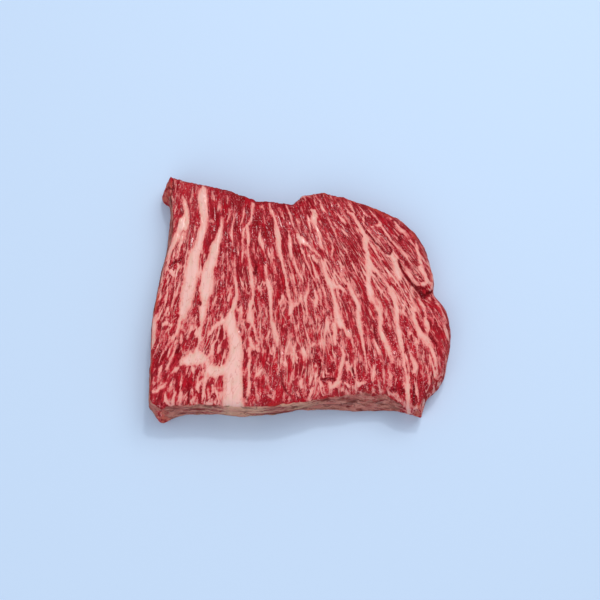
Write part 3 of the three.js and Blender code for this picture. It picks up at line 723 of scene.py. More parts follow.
@dataclass(frozen=True)
class Marbling:
    """Where the fat and the folds lie."""

    layers: tuple[Streaks, ...] = (
        GREAT_BANDS, MIDDLE_SEAMS, RIGHT_SEAMS, LEAN_ISLANDS, REAR_THREADS, FRONT_THREADS
    )
    creases: tuple[Path, ...] = CREASES
    crease_edges: Span = (-0.7, 0.8)
    zones: tuple[Zone, ...] = ZONES
    rest_weight: float = 1e-6
    rest_value: float = 0.25
    reading_height: float = 27.5
    reading_slope: float = 0.268
    reading_range: Span = (22.0, 31.0)
    wander: Span = (0.55, 0.88)
    wander_cell: Triple = (2.6, 9.0, 7.0)
    drift: float = 4.5
    drift_cell: Triple = (31.0, 43.0, 15.0)
    drift_offset: float = 7.0
    drift_heights: Span = (20.0, 8.0)
    seed: int = 7

    def read_places(self, points: np.ndarray) -> np.ndarray:
        """Finds where each point's fibre meets the level plane that the streaks are placed on.

        Args:
            points: X, Y and Z of each point.

        Returns:
            X and Y of each place on that plane, with the edges' own unevenness.
        """
        places = points[:, :2].copy()
        height = np.clip(points[:, 2], *self.reading_range)
        places[:, 1] -= self.reading_slope * (self.reading_height - height)
        none, whole = self.drift_heights
        drift = self.drift * np.clip((points[:, 2] - none) / (whole - none), 0, 1)
        offset = Vector((0, 0, self.drift_offset))
        noise.seed_set(self.seed)
        for row, point in enumerate(points):
            near = noise.noise_vector(Vector(point / self.wander_cell))
            deep = noise.noise_vector(Vector(point / self.drift_cell) + offset)
            places[row, 0] += self.wander[0] * near.x + drift[row] * deep.x
            places[row, 1] += self.wander[1] * near.y + drift[row] * deep.y
        return places

    def fat_depth(self, places: np.ndarray) -> np.ndarray:
        """How far each place lies inside fat, negative in lean."""
        depth = np.full(len(places), -DEPTH_LIMIT)
        for layer in self.layers:
            layer.paint(places, depth)
        return depth

    def crease_depth(self, places: np.ndarray) -> np.ndarray:
        """How deep each place lies in a fold, from 0 to 1."""
        depth = np.zeros(len(places))
        for path in self.creases:
            near = within(places, path, DEPTH_LIMIT)
            depth[near] = np.maximum(depth[near], eased(reach_into(places[near], path), *self.crease_edges))
        return depth

    def zone_values(self, places: np.ndarray) -> tuple[np.ndarray, np.ndarray]:
        """The veining and the pallor of the lean at each place."""
        weight = np.full(len(places), self.rest_weight)
        veining = weight * self.rest_value
        pallor = weight * self.rest_value
        for zone in self.zones:
            gap = np.sum((places - (zone.x, zone.y)) ** 2, axis=1) / zone.reach**2
            share = np.exp(-gap)
            weight += share
            veining += share * zone.veining
            pallor += share * zone.pallor
        return veining / weight, pallor / weight


@dataclass(frozen=True)
class Paint:
    """A display colour and how much of it shows where it is laid on."""

    colour: Triple
    share: float

    def over(self, under: Input, where: Signal) -> Signal:
        """Lays the paint over another colour."""
        return where.graph.mix(under, tint(*self.colour), where * self.share)


@dataclass(frozen=True)
class Patches:
    """Patches that noise makes: the size and finer octaves of its grains, and where a patch sets in."""

    cell: Triple
    detail: float
    edges: Span

    def at(self, place: Signal) -> Signal:
        """How much of a patch covers a place, from 0 to 1."""
        return place.graph.speckle(place, self.cell, self.detail).ease(*self.edges)


@dataclass(frozen=True)
class Waves:
    """Noise around zero: the size and finer octaves of its grains, and how strong it is."""

    cell: Triple
    detail: float
    strength: float

    def at(self, place: Signal) -> Signal:
        """The noise at a place."""
        return (place.graph.speckle(place, self.cell, self.detail) - 0.5) * self.strength


@dataclass(frozen=True)
class Lines:
    """Winding lines along a level of noise: its grains' size and finer octaves, the level and the width."""

    cell: Triple
    detail: float
    level: float
    width: float

    def off(self, place: Signal) -> Signal:
        """How many widths the noise at a place is from the lines' level."""
        return abs(place.graph.speckle(place, self.cell, self.detail) - self.level) / self.width

    def at(self, place: Signal) -> Signal:
        """How much of a line covers a place, from 0 to 1."""
        return self.off(place).ease(1.0, 0.0)


@dataclass(frozen=True)
class MeatFinish:
    """Moist raw beef: lean, fat, the drier cut sides and the folds, with painted shade in the folds and
    along the seams and painted glints on the lean.
    """

    # Colours.
    lean_to_fat: tuple[tuple[float, Triple], ...] = (
        (-2.5, (136, 14, 20)),
        (-1.5, (168, 28, 40)),
        (-0.9, (190, 44, 56)),
        (-0.45, (206, 60, 68)),
        (-0.15, (218, 86, 90)),
        (0.05, (230, 112, 112)),
        (0.3, (239, 138, 132)),
        (0.6, (242, 154, 144)),
        (1.0, (243, 167, 155)),
        (2.0, (245, 180, 168)),
        (3.5, (248, 194, 183)),
    )
    side_dark: Triple = (148, 44, 48)
    side_lean: Paint = Paint((206, 118, 108), 1.0)
    side_tan: Paint = Paint((238, 190, 156), 0.75)
    side_crack: Paint = Paint((74, 20, 22), 0.55)
    side_pale: Paint = Paint((238, 176, 160), 0.3)
    crimson: Paint = Paint((204, 18, 38), 0.6)
    # Painted shade: dark crimson lines along the lean side of the fat seams, where the crevices lie in
    # shade.
    outline: Paint = Paint((98, 2, 12), 0.45)
    # Painted highlight: pale pink specks laid on the lean as painted glints.
    sparkle: Paint = Paint((255, 176, 176), 0.55)
    warm_fat: Paint = Paint((222, 184, 158), 0.45)
    hairline: Paint = Paint((212, 118, 108), 0.5)
    rim: Paint = Paint((230, 92, 72), 0.85)
    tip: Paint = Paint((240, 130, 106), 0.6)
    # Painted shade: dark red laid into the folds and cracks.
    fold: Paint = Paint((70, 2, 8), 0.65)

    # Patterns of the finer veins, in the grain.
    vigour: Waves = Waves((7, 16, 9), 1.0, 1.8)
    sway: tuple[Triple, Triple] = ((9, 22, 12), (7.0, 6.0, 5.0))
    ripple: tuple[Triple, Triple] = ((3.2, 9, 5), (2.0, 1.4, 1.0))
    broad_veins: Lines = Lines((3.2, 26, 16), 0.7, 0.5, 1 / 7)
    fine_veins: Triple = (2.7, 17, 20)
    threads: Waves = Waves((1.6, 7, 6), 1.5, 7.0)
    edge: Waves = Waves((2.1, 8, 5), 1.0, 1.9)
    teeth: Waves = Waves((0.9, 1.7, 1.5), 1.0, 1.8)
    vein_growth: tuple[Span, Span, Span] = ((1.1, 0.1), (0.5, 0.14), (0.4, 0.26))
    vein_slope: float = 4.5
    vein_blend: float = 0.15
    # Painted shade: how far the folds are pushed towards the darkest lean tones.
    crease_lean: float = 2.0

    # Patterns of the cut faces, in the grain.
    fibres: Waves = Waves((0.7, 7, 3), 3.0, 1.5)
    clouds: Waves = Waves((5.5, 17, 9), 2.0, 2.2)
    grit: Waves = Waves((0.7, 0.8, 0.8), 1.0, 0.9)
    # Pale flecks on the lean: partly fine fat, partly painted glints.
    flecks: Patches = Patches((0.8, 1.5, 1.2), 1.0, (0.58, 0.75))
    # Where the painted seam shade shows.
    seam_shade_parts: Patches = Patches((2.2, 6, 4), 1.0, (0.44, 0.58))
    bright_parts: Patches = Patches((3.6, 11, 7), 1.5, (0.5, 0.64))
    # Where the painted glints show, and their specks.
    moist_parts: Patches = Patches((13, 20, 12), 1.0, (0.42, 0.56))
    sparks: Patches = Patches((0.7, 0.9, 0.9), 0.0, (0.64, 0.76))
    warm_parts: Patches = Patches((3.5, 8, 6), 2.0, (0.45, 0.7))
    hairlines: Lines = Lines((3.0, 11, 8), 2.0, 0.5, 0.022)
    pallor_share: float = 0.9
    fleck_shares: Span = (0.4, 1.4)
    # How far the painted seam shade darkens the tone, and where it lies.
    outline_shade: float = 0.45
    seam_shade_depths: tuple[Span, Span] = ((-1.7, -0.9), (0.1, -0.4))

    # Patterns of the sides.
    side_sway: tuple[Triple, Triple] = ((11, 11, 9), (12.0, 12.0, 10.0))
    side_streaks: Patches = Patches((8, 8, 3), 3.0, (0.38, 0.56))
    tan_parts: Patches = Patches((14, 14, 5), 2.0, (0.36, 0.6))
    deep_streaks: Patches = Patches((13, 13, 3.4), 2.0, (0.43, 0.34))
    side_threads: Lines = Lines((9, 9, 5), 1.5, 0.52, 0.04)
    gaps: Triple = (12, 12, 5)
    gap_parts: Patches = Patches((8, 8, 5), 1.0, (0.44, 0.6))
    rim_parts: Patches = Patches((7, 7, 4), 2.0, (0.4, 0.6))
    side_edge: Waves = Waves((4, 4, 2.5), 3.0, 1.1)
    tip_lumps: Patches = Patches((3, 3, 4), 1.0, (0.4, 0.56))

    # The bump: the size and finer octaves of each pattern's grains, and how high it stands.
    bump_fibre: tuple[Triple, float] = ((0.55, 4.5, 2), 3.0)
    bump_grit: tuple[Triple, float] = ((0.8, 0.8, 0.8), 2.0)
    bump_wrinkle: tuple[Triple, float] = ((4, 4, 1.2), 3.0)
    bump_heights: tuple[float, float, float, float] = (0.9, 0.55, 1.2, 0.7)
    bump_step: Span = (-0.8, 0.2)
    bump_strength: float = 0.8
    bump_scale: float = 0.001

    # Gloss and depth.
    lean_roughness: float = 0.34
    fat_roughness: float = 0.46
    side_roughness: float = 0.468
    wetness: float = 0.3
    steep_dryness: float = 0.85
    fat_dryness: float = 0.4
    wet_roughness: float = 0.14
    gloss: float = 0.05
    glow: float = 0.12
    glow_radius: Triple = (1.0, 0.35, 0.25)
    glow_reach: float = 0.0008


class MeatShader:
    """Writes a meat finish into the nodes of a material."""

    def __init__(self, finish: MeatFinish) -> None:
        """Starts the material and reads what the mesh carries.

        Args:
            finish: The colours, patterns and gloss.
        """
        self.finish = finish
        self.material = bpy.data.materials.new("raw_beef")
        self.material.use_nodes = True
        self.material.node_tree.nodes.clear()
        self.graph = Graph(self.material.node_tree)
        self.grain = self.graph.add("ShaderNodeAttribute", {"attribute_name": "grain"}, output="Vector")
        metres = self.graph.add("ShaderNodeTexCoord", output="Object")
        self.place = self.graph.vector("MULTIPLY", metres, (1 / MM,) * 3)
        self.side = self._number("side")
        self.crease = self._number("crease")
        # Painted shade: the folds are pushed towards the darkest lean tones.
        self.tissue = self._tissue() - self.crease * finish.crease_lean

    def build(self) -> bpy.types.Material:
        """Builds the material.

        Returns:
            The finished material.
        """
        finish = self.finish
        fatness = self.tissue.ease(-0.3, 0.9)
        rough = finish.lean_roughness + fatness * (finish.fat_roughness - finish.lean_roughness)
        rough = rough + self.side * (finish.side_roughness - finish.lean_roughness)
        wet = finish.wetness * (1 - self._number("steep") * finish.steep_dryness)
        wet = wet * (1 - fatness * finish.fat_dryness)
        inputs = {
            # Painted shade: the fold colour darkens the creases.
            "Base Color": finish.fold.over(self._sides(self._top_colour()), self.crease),
            "Roughness": rough,
            "Coat Weight": wet,
            "Coat Roughness": finish.wet_roughness,
            "Specular IOR Level": finish.gloss,
            "Subsurface Weight": finish.glow,
            "Subsurface Radius": finish.glow_radius,
            "Subsurface Scale": finish.glow_reach,
            "Normal": self._bump(),
        }
        shader = self.graph.add("ShaderNodeBsdfPrincipled", {}, inputs)
        self.graph.end("ShaderNodeOutputMaterial", "Surface", shader)
        return self.material

    def _number(self, name: str) -> Signal:
        """Reads one number that the mesh carries."""
        return self.graph.add("ShaderNodeAttribute", {"attribute_name": name}, output="Fac")

    def _tissue(self) -> Signal:
        """Millimetres into fat, negative in lean, with the finer veins."""
        finish = self.finish
        graph = self.graph
        veining = self._number("veining") * (1 - self.side) * (finish.vigour.at(self.grain) + 1.0)
        swayed = graph.vector("ADD", self.grain, graph.drift(self.grain, *finish.sway))
        swayed = graph.vector("ADD", swayed, graph.drift(self.grain, *finish.ripple))
        broad, fine, thread = (veining * growth - least for growth, least in finish.vein_growth)
        broad = (broad - finish.broad_veins.off(swayed)) * finish.vein_slope
        fine = (fine - graph.network(swayed, finish.fine_veins)) * finish.vein_slope
        threads = finish.threads.at(self.grain) + thread * finish.threads.strength
        veins = broad.above(fine, finish.vein_blend).above(threads, finish.vein_blend)
        veins = veins - veining.ease(0.1, 0.0) * 1.2
        edge = finish.edge.at(self.grain) * (1.0 + veining.ease(0.0, 0.14))
        return (self._number("fat") * 1.3).above(veins, 0.2) + edge + finish.teeth.at(self.grain)

    def _top_colour(self) -> Signal:
        """The colour of the cut faces, with painted shade along the fat seams and painted glints on the
        lean.
        """
        finish, grain, tissue = self.finish, self.grain, self.tissue
        pallor = self._number("pallor")
        lean = tissue.ease(0.5, -0.6)
        # Pallor lightens the lean: partly fine fat, partly painted glints.
        uneven = finish.fibres.at(grain) + finish.clouds.at(grain) + pallor * finish.pallor_share
        tone = tissue.above(-2.5, 0.5) + lean * uneven + finish.grit.at(grain)
        # Pale flecks on the lean, partly fine fat and partly painted glints.
        least, paler = finish.fleck_shares
        tone = tone + lean * finish.flecks.at(grain) * (least + pallor * paler)
        # Painted shade: a dark line just outside the fat darkens the tone and lays the outline colour.
        inner, outer = finish.seam_shade_depths
        line = tissue.ease(*inner) * tissue.ease(*outer) * finish.seam_shade_parts.at(grain)
        colour = self._ramp(tone - line * finish.outline_shade)
        colour = finish.crimson.over(colour, finish.bright_parts.at(grain) * lean)
        colour = finish.outline.over(colour, line)
        # Painted highlights: small glint specks laid on the lean, in patches.
        colour = finish.sparkle.over(colour, finish.sparks.at(grain) * lean * finish.moist_parts.at(grain))
        colour = finish.warm_fat.over(colour, finish.warm_parts.at(grain) * tissue.ease(0.6, 1.6))
        return finish.hairline.over(colour, finish.hairlines.at(grain) * tissue.ease(0.9, 1.8))

    def _ramp(self, tone: Signal) -> Signal:
        """Turns millimetres into fat into a colour."""
        low = self.finish.lean_to_fat[0][0]
        span = self.finish.lean_to_fat[-1][0] - low
        stops = [((depth - low) / span, tint(*colour)) for depth, colour in self.finish.lean_to_fat]
        return self.graph.add("ShaderNodeValToRGB", {"stops": stops}, {0: (tone - low) / span})

    def _sides(self, colour: Signal) -> Signal:
        """Tones down the drier sides of the slab and reddens its rim and tips.

        Args:
            colour: The colour of the cut faces.

        Returns:
            The colour with the sides.
        """
        finish, place, tissue = self.finish, self.place, self.tissue
        swayed = self.graph.vector("ADD", place, self.graph.drift(place, *finish.side_sway, 2.0))
        dry = finish.side_lean.over(tint(*finish.side_dark), finish.side_streaks.at(swayed))
        tan = finish.tan_parts.at(swayed) * self._number("paleness")
        dry = finish.side_tan.over(dry, tan.above(tissue.ease(-0.8, 2.2) * 0.5, 0.2))
        dry = finish.side_crack.over(dry, finish.deep_streaks.at(swayed))
        dry = finish.side_pale.over(dry, finish.side_threads.at(swayed))
        gaps = self.graph.network(swayed, finish.gaps).ease(0.8, 0.0)
        dry = finish.side_crack.over(dry, gaps * finish.gap_parts.at(place))
        rubbed = self._number("rim") * finish.rim_parts.at(place)
        red = finish.rim.over(colour, rubbed * tissue.ease(1.4, -0.6))
        ragged = self.side + finish.side_edge.at(place)
        colour = self.graph.mix(red, dry, ragged.ease(0.3, 0.6) * self.side.ease(0.02, 0.15))
        return finish.tip.over(colour, self._number("tip").ease(0.15, 0.6) * finish.tip_lumps.at(place))

    def _bump(self) -> Signal:
        """The normal, bent by the surface's finest relief."""
        finish, graph = self.finish, self.graph
        lean = self.tissue.ease(0.6, -0.5)
        patterns = (
            graph.speckle(self.grain, *finish.bump_fibre) * lean,
            graph.speckle(self.place, *finish.bump_grit) * (0.35 + lean),
            graph.speckle(self.place, *finish.bump_wrinkle) * self.side,
            self.tissue.ease(*finish.bump_step),
        )
        height = sum(pattern * high for pattern, high in zip(patterns, finish.bump_heights))
        inputs = {"Strength": finish.bump_strength, "Distance": finish.bump_scale, "Height": height}
        return self.graph.add("ShaderNodeBump", {}, inputs)


@dataclass
class Relief:
    """The fine relief of the cut faces and sides, as a Geometry Nodes tree."""

    bundle_width: float = 2.3
    bundle_length: float = 15.0
    bundle_depth: float = 8.0
    bundle_height: float = 0.6
    bundle_seed: float = 4.0
    fibre_width: float = 1.2
    fibre_length: float = 7.0
    fibre_depth: float = 4.0
    fibre_height: float = 0.34
    fibre_seed: float = 7.0
    wrinkle_length: float = 8.8
    wrinkle_pitch: float = 2.75
    wrinkle_height: float = 0.9
    wrinkle_seed: float = 13.0
    fat_step: float = 0.45
    crease_depth: float = 1.3
    inputs: dict[str, str] = field(default_factory=dict)

    def sizes(self) -> dict[str, float]:
        """The tree's number inputs by name."""
        names = [each.name for each in fields(self) if each.type is float]
        return {name.replace("_", " ").title(): getattr(self, name) for name in names}

    def tree(self) -> bpy.types.NodeTree:
        """Builds the tree.

        Returns:
            The tree, with its sizes as named inputs.
        """
        tree = bpy.data.node_groups.new("meat_relief", "GeometryNodeTree")
        graph = Graph(tree)
        tree.interface.new_socket("Geometry", in_out="INPUT", socket_type="NodeSocketGeometry")
        tree.interface.new_socket("Geometry", in_out="OUTPUT", socket_type="NodeSocketGeometry")
        for name, value in self.sizes().items():
            socket = tree.interface.new_socket(name, in_out="INPUT", socket_type="NodeSocketFloat")
            socket.default_value = value
            self.inputs[name] = socket.identifier
        finish = tree.interface.new_socket("Finish", in_out="INPUT", socket_type="NodeSocketMaterial")
        self.inputs["Finish"] = finish.identifier
        entry = tree.nodes.new("NodeGroupInput")
        size = {name: Signal(graph, entry.outputs[name]) for name in ["Geometry", *self.inputs]}
        normal = graph.add("GeometryNodeInputNormal")
        height = self._height(graph, size) * MM
        lift = graph.add("ShaderNodeVectorMath", {"operation": "SCALE"}, {0: normal, "Scale": height})
        shape = graph.add("GeometryNodeSetPosition", {}, {"Geometry": size["Geometry"], "Offset": lift})
        shape = graph.add("GeometryNodeRealizeInstances", {}, {"Geometry": shape})
        shape = graph.add("GeometryNodeSetMaterial", {}, {"Geometry": shape, "Material": size["Finish"]})
        graph.end("NodeGroupOutput", "Geometry", shape)
        return tree

    @staticmethod
    def _named(graph: Graph, name: str, kind: str = "FLOAT") -> Signal:
        """Reads a value that the mesh carries."""
        return graph.add("GeometryNodeInputNamedAttribute", {"data_type": kind}, {"Name": name})

    @staticmethod
    def _rough(place: Signal, cell: Sequence[Signal], seed: Signal, detail: float) -> Signal:
        """Noise around 0 whose grains have the given size.

        Args:
            place: The place in millimetres.
            cell: The grains' size along each axis.
            seed: Which noise it is.
            detail: How many finer octaves ride on it.

        Returns:
            The noise, from about -1 to 1.
        """
        sizes = place.graph.add("ShaderNodeCombineXYZ", {}, dict(enumerate(cell)))
        scaled = place.graph.vector("DIVIDE", place, sizes)
        inputs = {"Vector": scaled, "W": seed, "Scale": 1.0, "Detail": detail}
        return (place.graph.add("ShaderNodeTexNoise", {"noise_dimensions": "4D"}, inputs) - 0.5) * 2.0

    def _height(self, graph: Graph, size: dict[str, Signal]) -> Signal:
        """Adds up the relief.

        Args:
            graph: The tree's graph.
            size: The tree's inputs by name.

        Returns:
            How far each point rises, in millimetres.
        """
        grain = self._named(graph, "grain", "FLOAT_VECTOR")
        fat = self._named(graph, "fat")
        side = self._named(graph, "side")
        place = graph.vector("MULTIPLY", graph.add("GeometryNodeInputPosition"), (1 / MM,) * 3)
        bundle = [size["Bundle Width"], size["Bundle Length"], size["Bundle Depth"]]
        fibre = [size["Fibre Width"], size["Fibre Length"], size["Fibre Depth"]]
        wrinkle = [size["Wrinkle Length"], size["Wrinkle Length"], size["Wrinkle Pitch"]]
        bundles = self._rough(grain, bundle, size["Bundle Seed"], 1.0) * size["Bundle Height"]
        fibres = self._rough(grain, fibre, size["Fibre Seed"], 1.0) * size["Fibre Height"]
        wrinkles = self._rough(place, wrinkle, size["Wrinkle Seed"], 3.0) * size["Wrinkle Height"]
        height = (bundles + fibres) * (0.35 + fat.ease(0.9, -0.4) * 0.65)
        height = height + fat.ease(-0.9, 0.6) * size["Fat Step"]
        height = height * (1.0 - side * 0.6) + wrinkles * side
        height = height - self._named(graph, "crease") * size["Crease Depth"]
        return height * self._named(graph, "free")


@dataclass(frozen=True)
class Flanks:
    """Where the cut sides, the grown edges and the rubbed rims of the steak lie."""

    outward: Span = (-0.4, 0.4)
    front_corner: tuple[Span, Span] = ((76, 82), (-72, -66))
    rear_corner: tuple[Span, Span] = ((-86, -76), (45, 58))
    cut_slope: Span = (-0.72, -0.3)
    dull_slope: Span = (-0.75, -0.3)
    rim_slopes: tuple[Span, Span] = ((-0.9, -0.65), (0.1, 0.5))
    rim_base: float = 0.2
    grown_rim: float = 0.35
    grown_veining: float = 0.12
    grown_heights: Span = (20, 6)
    base_paleness: float = 0.25
    free_heights: Span = (0.2, 2.0)

    def grown(self, points: np.ndarray, normals: np.ndarray) -> np.ndarray:
        """How far each point lies on an edge that grew so, at the rear and the right, from 0 to 1."""
        x, y, _ = points.T
        level = np.maximum(np.hypot(normals[:, 0], normals[:, 1]), 1e-6)
        grown = eased((normals[:, 0] + normals[:, 1]) / level, *self.outward)
        for across, along in (self.front_corner, self.rear_corner):
            grown = np.maximum(grown, eased(x, *across) * eased(y, *along))
        return grown

    def masks(self, points: np.ndarray, normals: np.ndarray, grown: np.ndarray) -> dict[str, np.ndarray]:
        """Works out where each kind of surface shows.

        Args:
            points: X, Y and Z of each point, in millimetres.
            normals: Each point's normal.
            grown: How far each point lies on a grown edge.

        Returns:
            The shares from 0 to 1, by name.
        """
        upward = normals[:, 2]
        steep = eased(-abs(upward), *self.dull_slope)
        side = eased(-abs(upward), *self.cut_slope) * (1 - grown) * (1 - bells(points, FLESHY_TIPS))
        brink = eased(-upward, *self.rim_slopes[0]) * eased(upward, *self.rim_slopes[1])
        rim = brink * np.clip(self.rim_base + bells(points, ORANGE_RIMS), 0, 1)
        return {
            "side": side,
            "rim": np.maximum(rim, steep * grown * self.grown_rim),
            "steep": steep,
            "tip": bells(points, ORANGE_TIPS),
            "paleness": self.base_paleness + (1 - self.base_paleness) * bells(points, PALE_WALLS),
            "free": eased(points[:, 2], *self.free_heights),
        }


@dataclass
class Steak:
    """The steak itself."""

    levels: int = 2
    weld: float = 1e-6
    facet_angle: float = 3.2
    floor_gap: float = 0.05
    fill_pitch: float = 2.2
    fill_row: float = 0.866
    fill_clearance: float = 0.7
    fill_precision: float = 1e-7
    crease_heights: Span = (8, 14)
    grain: Grain = field(default_factory=Grain)
    marbling: Marbling = field(default_factory=Marbling)
    flanks: Flanks = field(default_factory=Flanks)
    relief: Relief = field(default_factory=Relief)
    finish: MeatFinish = field(default_factory=MeatFinish)

    def build(self) -> bpy.types.Object:
        """Builds the steak on the part's own solid.

        Returns:
            The finished piece.
        """
        mesh = self._smooth_copy(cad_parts["steak"].data)
        self._carry_tissue(mesh)
        rough = put_in_scene("steak_rough", mesh)
        modifier = rough.modifiers.new("relief", "NODES")
        modifier.node_group = self.relief.tree()
        for name, value in self.relief.sizes().items():
            modifier[self.relief.inputs[name]] = value
        modifier[self.relief.inputs["Finish"]] = MeatShader(self.finish).build()
        made = self._evaluated(rough)
        made.name = "raw_steak"
        made.shade_smooth()
        return put_in_scene("raw_steak", made)

    @staticmethod
    def _evaluated(holder: bpy.types.Object) -> bpy.types.Mesh:
        """Turns an object with modifiers into a plain mesh."""
        graph = bpy.context.evaluated_depsgraph_get()
        made = bpy.data.meshes.new_from_object(holder.evaluated_get(graph))
        bpy.data.objects.remove(holder)
        return made

    def _smooth_copy(self, source: bpy.types.Mesh) -> bpy.types.Mesh:
        """Copies the solid's top and sides, rounds their facets and closes the underside with a flat sheet.

        Args:
            source: The solid's mesh.

        Returns:
            A closed, finely divided mesh.
        """
        shell = bmesh.new()
        shell.from_mesh(source)
        bmesh.ops.remove_doubles(shell, verts=shell.verts, dist=self.weld)
        flat = [face for face in shell.faces if max(v.co.z for v in face.verts) < self.floor_gap * MM]
        bmesh.ops.delete(shell, geom=flat, context="FACES")
        angles = {"angle_face_threshold": self.facet_angle, "angle_shape_threshold": self.facet_angle}
        bmesh.ops.join_triangles(shell, faces=shell.faces, **angles)
        coarse = bpy.data.meshes.new("steak_shell")
        shell.to_mesh(coarse)
        shell.free()
        holder = put_in_scene("steak_shell", coarse)
        rounding = holder.modifiers.new("rounding", "SUBSURF")
        rounding.levels = self.levels
        rounding.render_levels = self.levels
        fine = self._evaluated(holder)
        self._close_underside(fine)
        return fine

    def _close_underside(self, mesh: bpy.types.Mesh) -> None:
        """Fills the open foot with an even sheet of triangles.

        Args:
            mesh: The open mesh, closed in place.
        """
        shell = bmesh.new()
        shell.from_mesh(mesh)
        rim = [edge for edge in shell.edges if edge.is_boundary]
        loop = [rim[0].verts[0], rim[0].verts[1]]
        onward = {}
        for edge in rim:
            for corner in edge.verts:
                onward.setdefault(corner, []).append(edge.other_vert(corner))
        while len(loop) < len(rim):
            first, second = onward[loop[-1]]
            loop.append(second if first is loop[-2] else first)
        outline = [Vector((v.co.x, v.co.y)) for v in loop]
        inner = self._inner_places(np.array(outline))
        edges = [(i, (i + 1) % len(loop)) for i in range(len(loop))]
        filled = geometry.delaunay_2d_cdt(outline + inner, edges, [], 1, self.fill_precision)
        places, faces = filled[0], filled[2]
        added = [shell.verts.new((x, y, 0.0)) for x, y in places[len(loop):]]
        corners = loop + added
        for face in faces:
            shell.faces.new([corners[i] for i in reversed(face)])
        for corner in loop:
            corner.co.z = 0.0
        bmesh.ops.recalc_face_normals(shell, faces=shell.faces)
        shell.to_mesh(mesh)
        shell.free()

    def _inner_places(self, outline: np.ndarray) -> list[Vector]:
        """Even places inside an outline, clear of it.

        Args:
            outline: X and Y of the outline's corners, in metres.

        Returns:
            The places.
        """
        pitch = self.fill_pitch * MM
        low, high = outline.min(axis=0), outline.max(axis=0)
        found = []
        for row, y in enumerate(np.arange(low[1], high[1], pitch * self.fill_row)):
            crossings = self._crossings(outline, y)
            for x in np.arange(low[0] + (row % 2) * pitch / 2, high[0], pitch):
                inside = sum(c > x for c in crossings) % 2 == 1
                gap = np.min(np.hypot(outline[:, 0] - x, outline[:, 1] - y))
                if inside and gap > pitch * self.fill_clearance:
                    found.append(Vector((x, y)))
        return found

    @staticmethod
    def _crossings(outline: np.ndarray, y: float) -> list[float]:
        """Where a closed outline crosses the level Y."""
        ahead = np.roll(outline, -1, axis=0)
        cut = (outline[:, 1] > y) != (ahead[:, 1] > y)
        a, b = outline[cut], ahead[cut]
        return list(a[:, 0] + (y - a[:, 1]) / (b[:, 1] - a[:, 1]) * (b[:, 0] - a[:, 0]))

    def _carry_tissue(self, mesh: bpy.types.Mesh) -> None:
        """Works out what each point of the mesh is made of.

        Args:
            mesh: The mesh, which then carries the values.
        """
        points = read_vectors(mesh, "co") / MM
        normals = read_vectors(mesh, "normal")
        places = self.marbling.read_places(points)
        veining, pallor = self.marbling.zone_values(places)
        grown = self.flanks.grown(points, normals)
        high, low = self.flanks.grown_heights
        values = self.flanks.masks(points, normals, grown)
        crease = self.marbling.crease_depth(places) * eased(points[:, 2], *self.crease_heights)
        values["crease"] = crease * (1 - values["side"])
        values["fat"] = self.marbling.fat_depth(places)
        values["veining"] = veining + grown * eased(points[:, 2], high, low) * self.flanks.grown_veining
        values["pallor"] = pallor
        values["grain"] = np.column_stack((self.grain.across(points[:, :2]), points[:, 1], points[:, 2]))
        for name, value in values.items():
            set_numbers(mesh, name, value)


@dataclass(frozen=True)
class Lamp:
    """A soft square light that points at the steak."""

    name: str
    place: Triple
    size: float
    power: float
    glints: bool = False

    def build(self, target: Vector) -> None:
        """Hangs the light.

        Args:
            target: The point that it faces.
        """
        light = bpy.data.lights.new(self.name, "AREA")
        light.size = self.size
        light.energy = self.power
        lamp = put_in_scene(self.name, light)
        lamp.location = self.place
        lamp.rotation_mode = "QUATERNION"
        lamp.rotation_quaternion = (target - lamp.location).to_track_quat("-Z", "Y")
        lamp.visible_glossy = self.glints


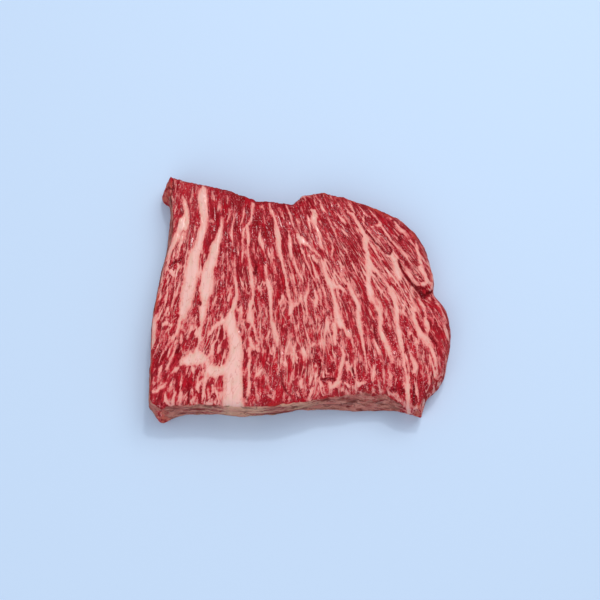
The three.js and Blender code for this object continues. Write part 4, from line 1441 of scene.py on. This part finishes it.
@dataclass(frozen=True)
class Studio:
    """A pale floor, soft light and a camera that looks down on the steak from the front."""

    distance: float = 0.95
    elevation: float = 75.0
    frame_width: float = 0.396
    sensor_width: float = 36.0
    clip: Span = (0.01, 50.0)
    aim: Triple = (-0.66 * MM, -1.4 * MM, 13 * MM)
    floor_size: float = 8.0
    floor_colour: Triple = (206, 227, 250)
    floor_roughness: float = 0.9
    floor_gloss: float = 0.2
    floor_gap: float = 0.02 * MM
    sky: Triple = (235, 242, 255)
    sky_strength: float = 0.5
    lamps: tuple[Lamp, ...] = (
        Lamp("key", (0.5, 0.7, 1.3), 0.9, 8.2),
        Lamp("fill", (-0.5, -0.9, 1.2), 1.4, 6.4),
        Lamp("spark", (0.2, 0.8, 1.4), 0.12, 3.6, glints=True),
    )

    def build(self) -> None:
        """Sets up the floor, the lights, the camera and the colours' rendering."""
        self._floor()
        for lamp in self.lamps:
            lamp.build(Vector(self.aim))
        self._camera()
        world = bpy.data.worlds.new("studio")
        world.use_nodes = True
        background = world.node_tree.nodes["Background"]
        background.inputs["Color"].default_value = tint(*self.sky)
        background.inputs["Strength"].default_value = self.sky_strength
        world.cycles_visibility.glossy = False
        bpy.context.scene.world = world
        bpy.context.scene.view_settings.view_transform = "Standard"

    def _floor(self) -> None:
        """Lays the floor."""
        half = self.floor_size / 2
        mesh = bpy.data.meshes.new("floor")
        corners = [(-half, -half, 0), (half, -half, 0), (half, half, 0), (-half, half, 0)]
        mesh.from_pydata(corners, [], [(0, 1, 2, 3)])
        made = bpy.data.materials.new("pale_floor")
        made.use_nodes = True
        shader = made.node_tree.nodes["Principled BSDF"]
        shader.inputs["Base Color"].default_value = tint(*self.floor_colour)
        shader.inputs["Roughness"].default_value = self.floor_roughness
        shader.inputs["Specular IOR Level"].default_value = self.floor_gloss
        mesh.materials.append(made)
        floor = put_in_scene("floor", mesh)
        floor.location.z = CAD_BOX[0].z - self.floor_gap
        floor.visible_glossy = False

    def _camera(self) -> None:
        """Places the camera."""
        data = bpy.data.cameras.new("camera")
        data.sensor_width = self.sensor_width
        data.lens = self.sensor_width * self.distance / self.frame_width
        data.clip_start, data.clip_end = self.clip
        camera = put_in_scene("camera", data)
        slope = math.radians(self.elevation)
        back = Vector((0.0, -math.cos(slope), math.sin(slope)))
        camera.location = Vector(self.aim) + back * self.distance
        camera.rotation_mode = "QUATERNION"
        camera.rotation_quaternion = (-back).to_track_quat("-Z", "Y")
        bpy.context.scene.camera = camera


def main() -> None:
    """Builds the studio and the steak and reports each."""
    logging.basicConfig(level=logging.INFO, format="%(name)s: %(message)s")
    Studio().build()
    LOG.info("studio ready")
    piece = Steak().build()
    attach(piece, "root")
    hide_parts("steak")
    LOG.info("%s: %d points, %d faces", piece.name, len(piece.data.vertices), len(piece.data.polygons))


if __name__ == "__main__":
    main()
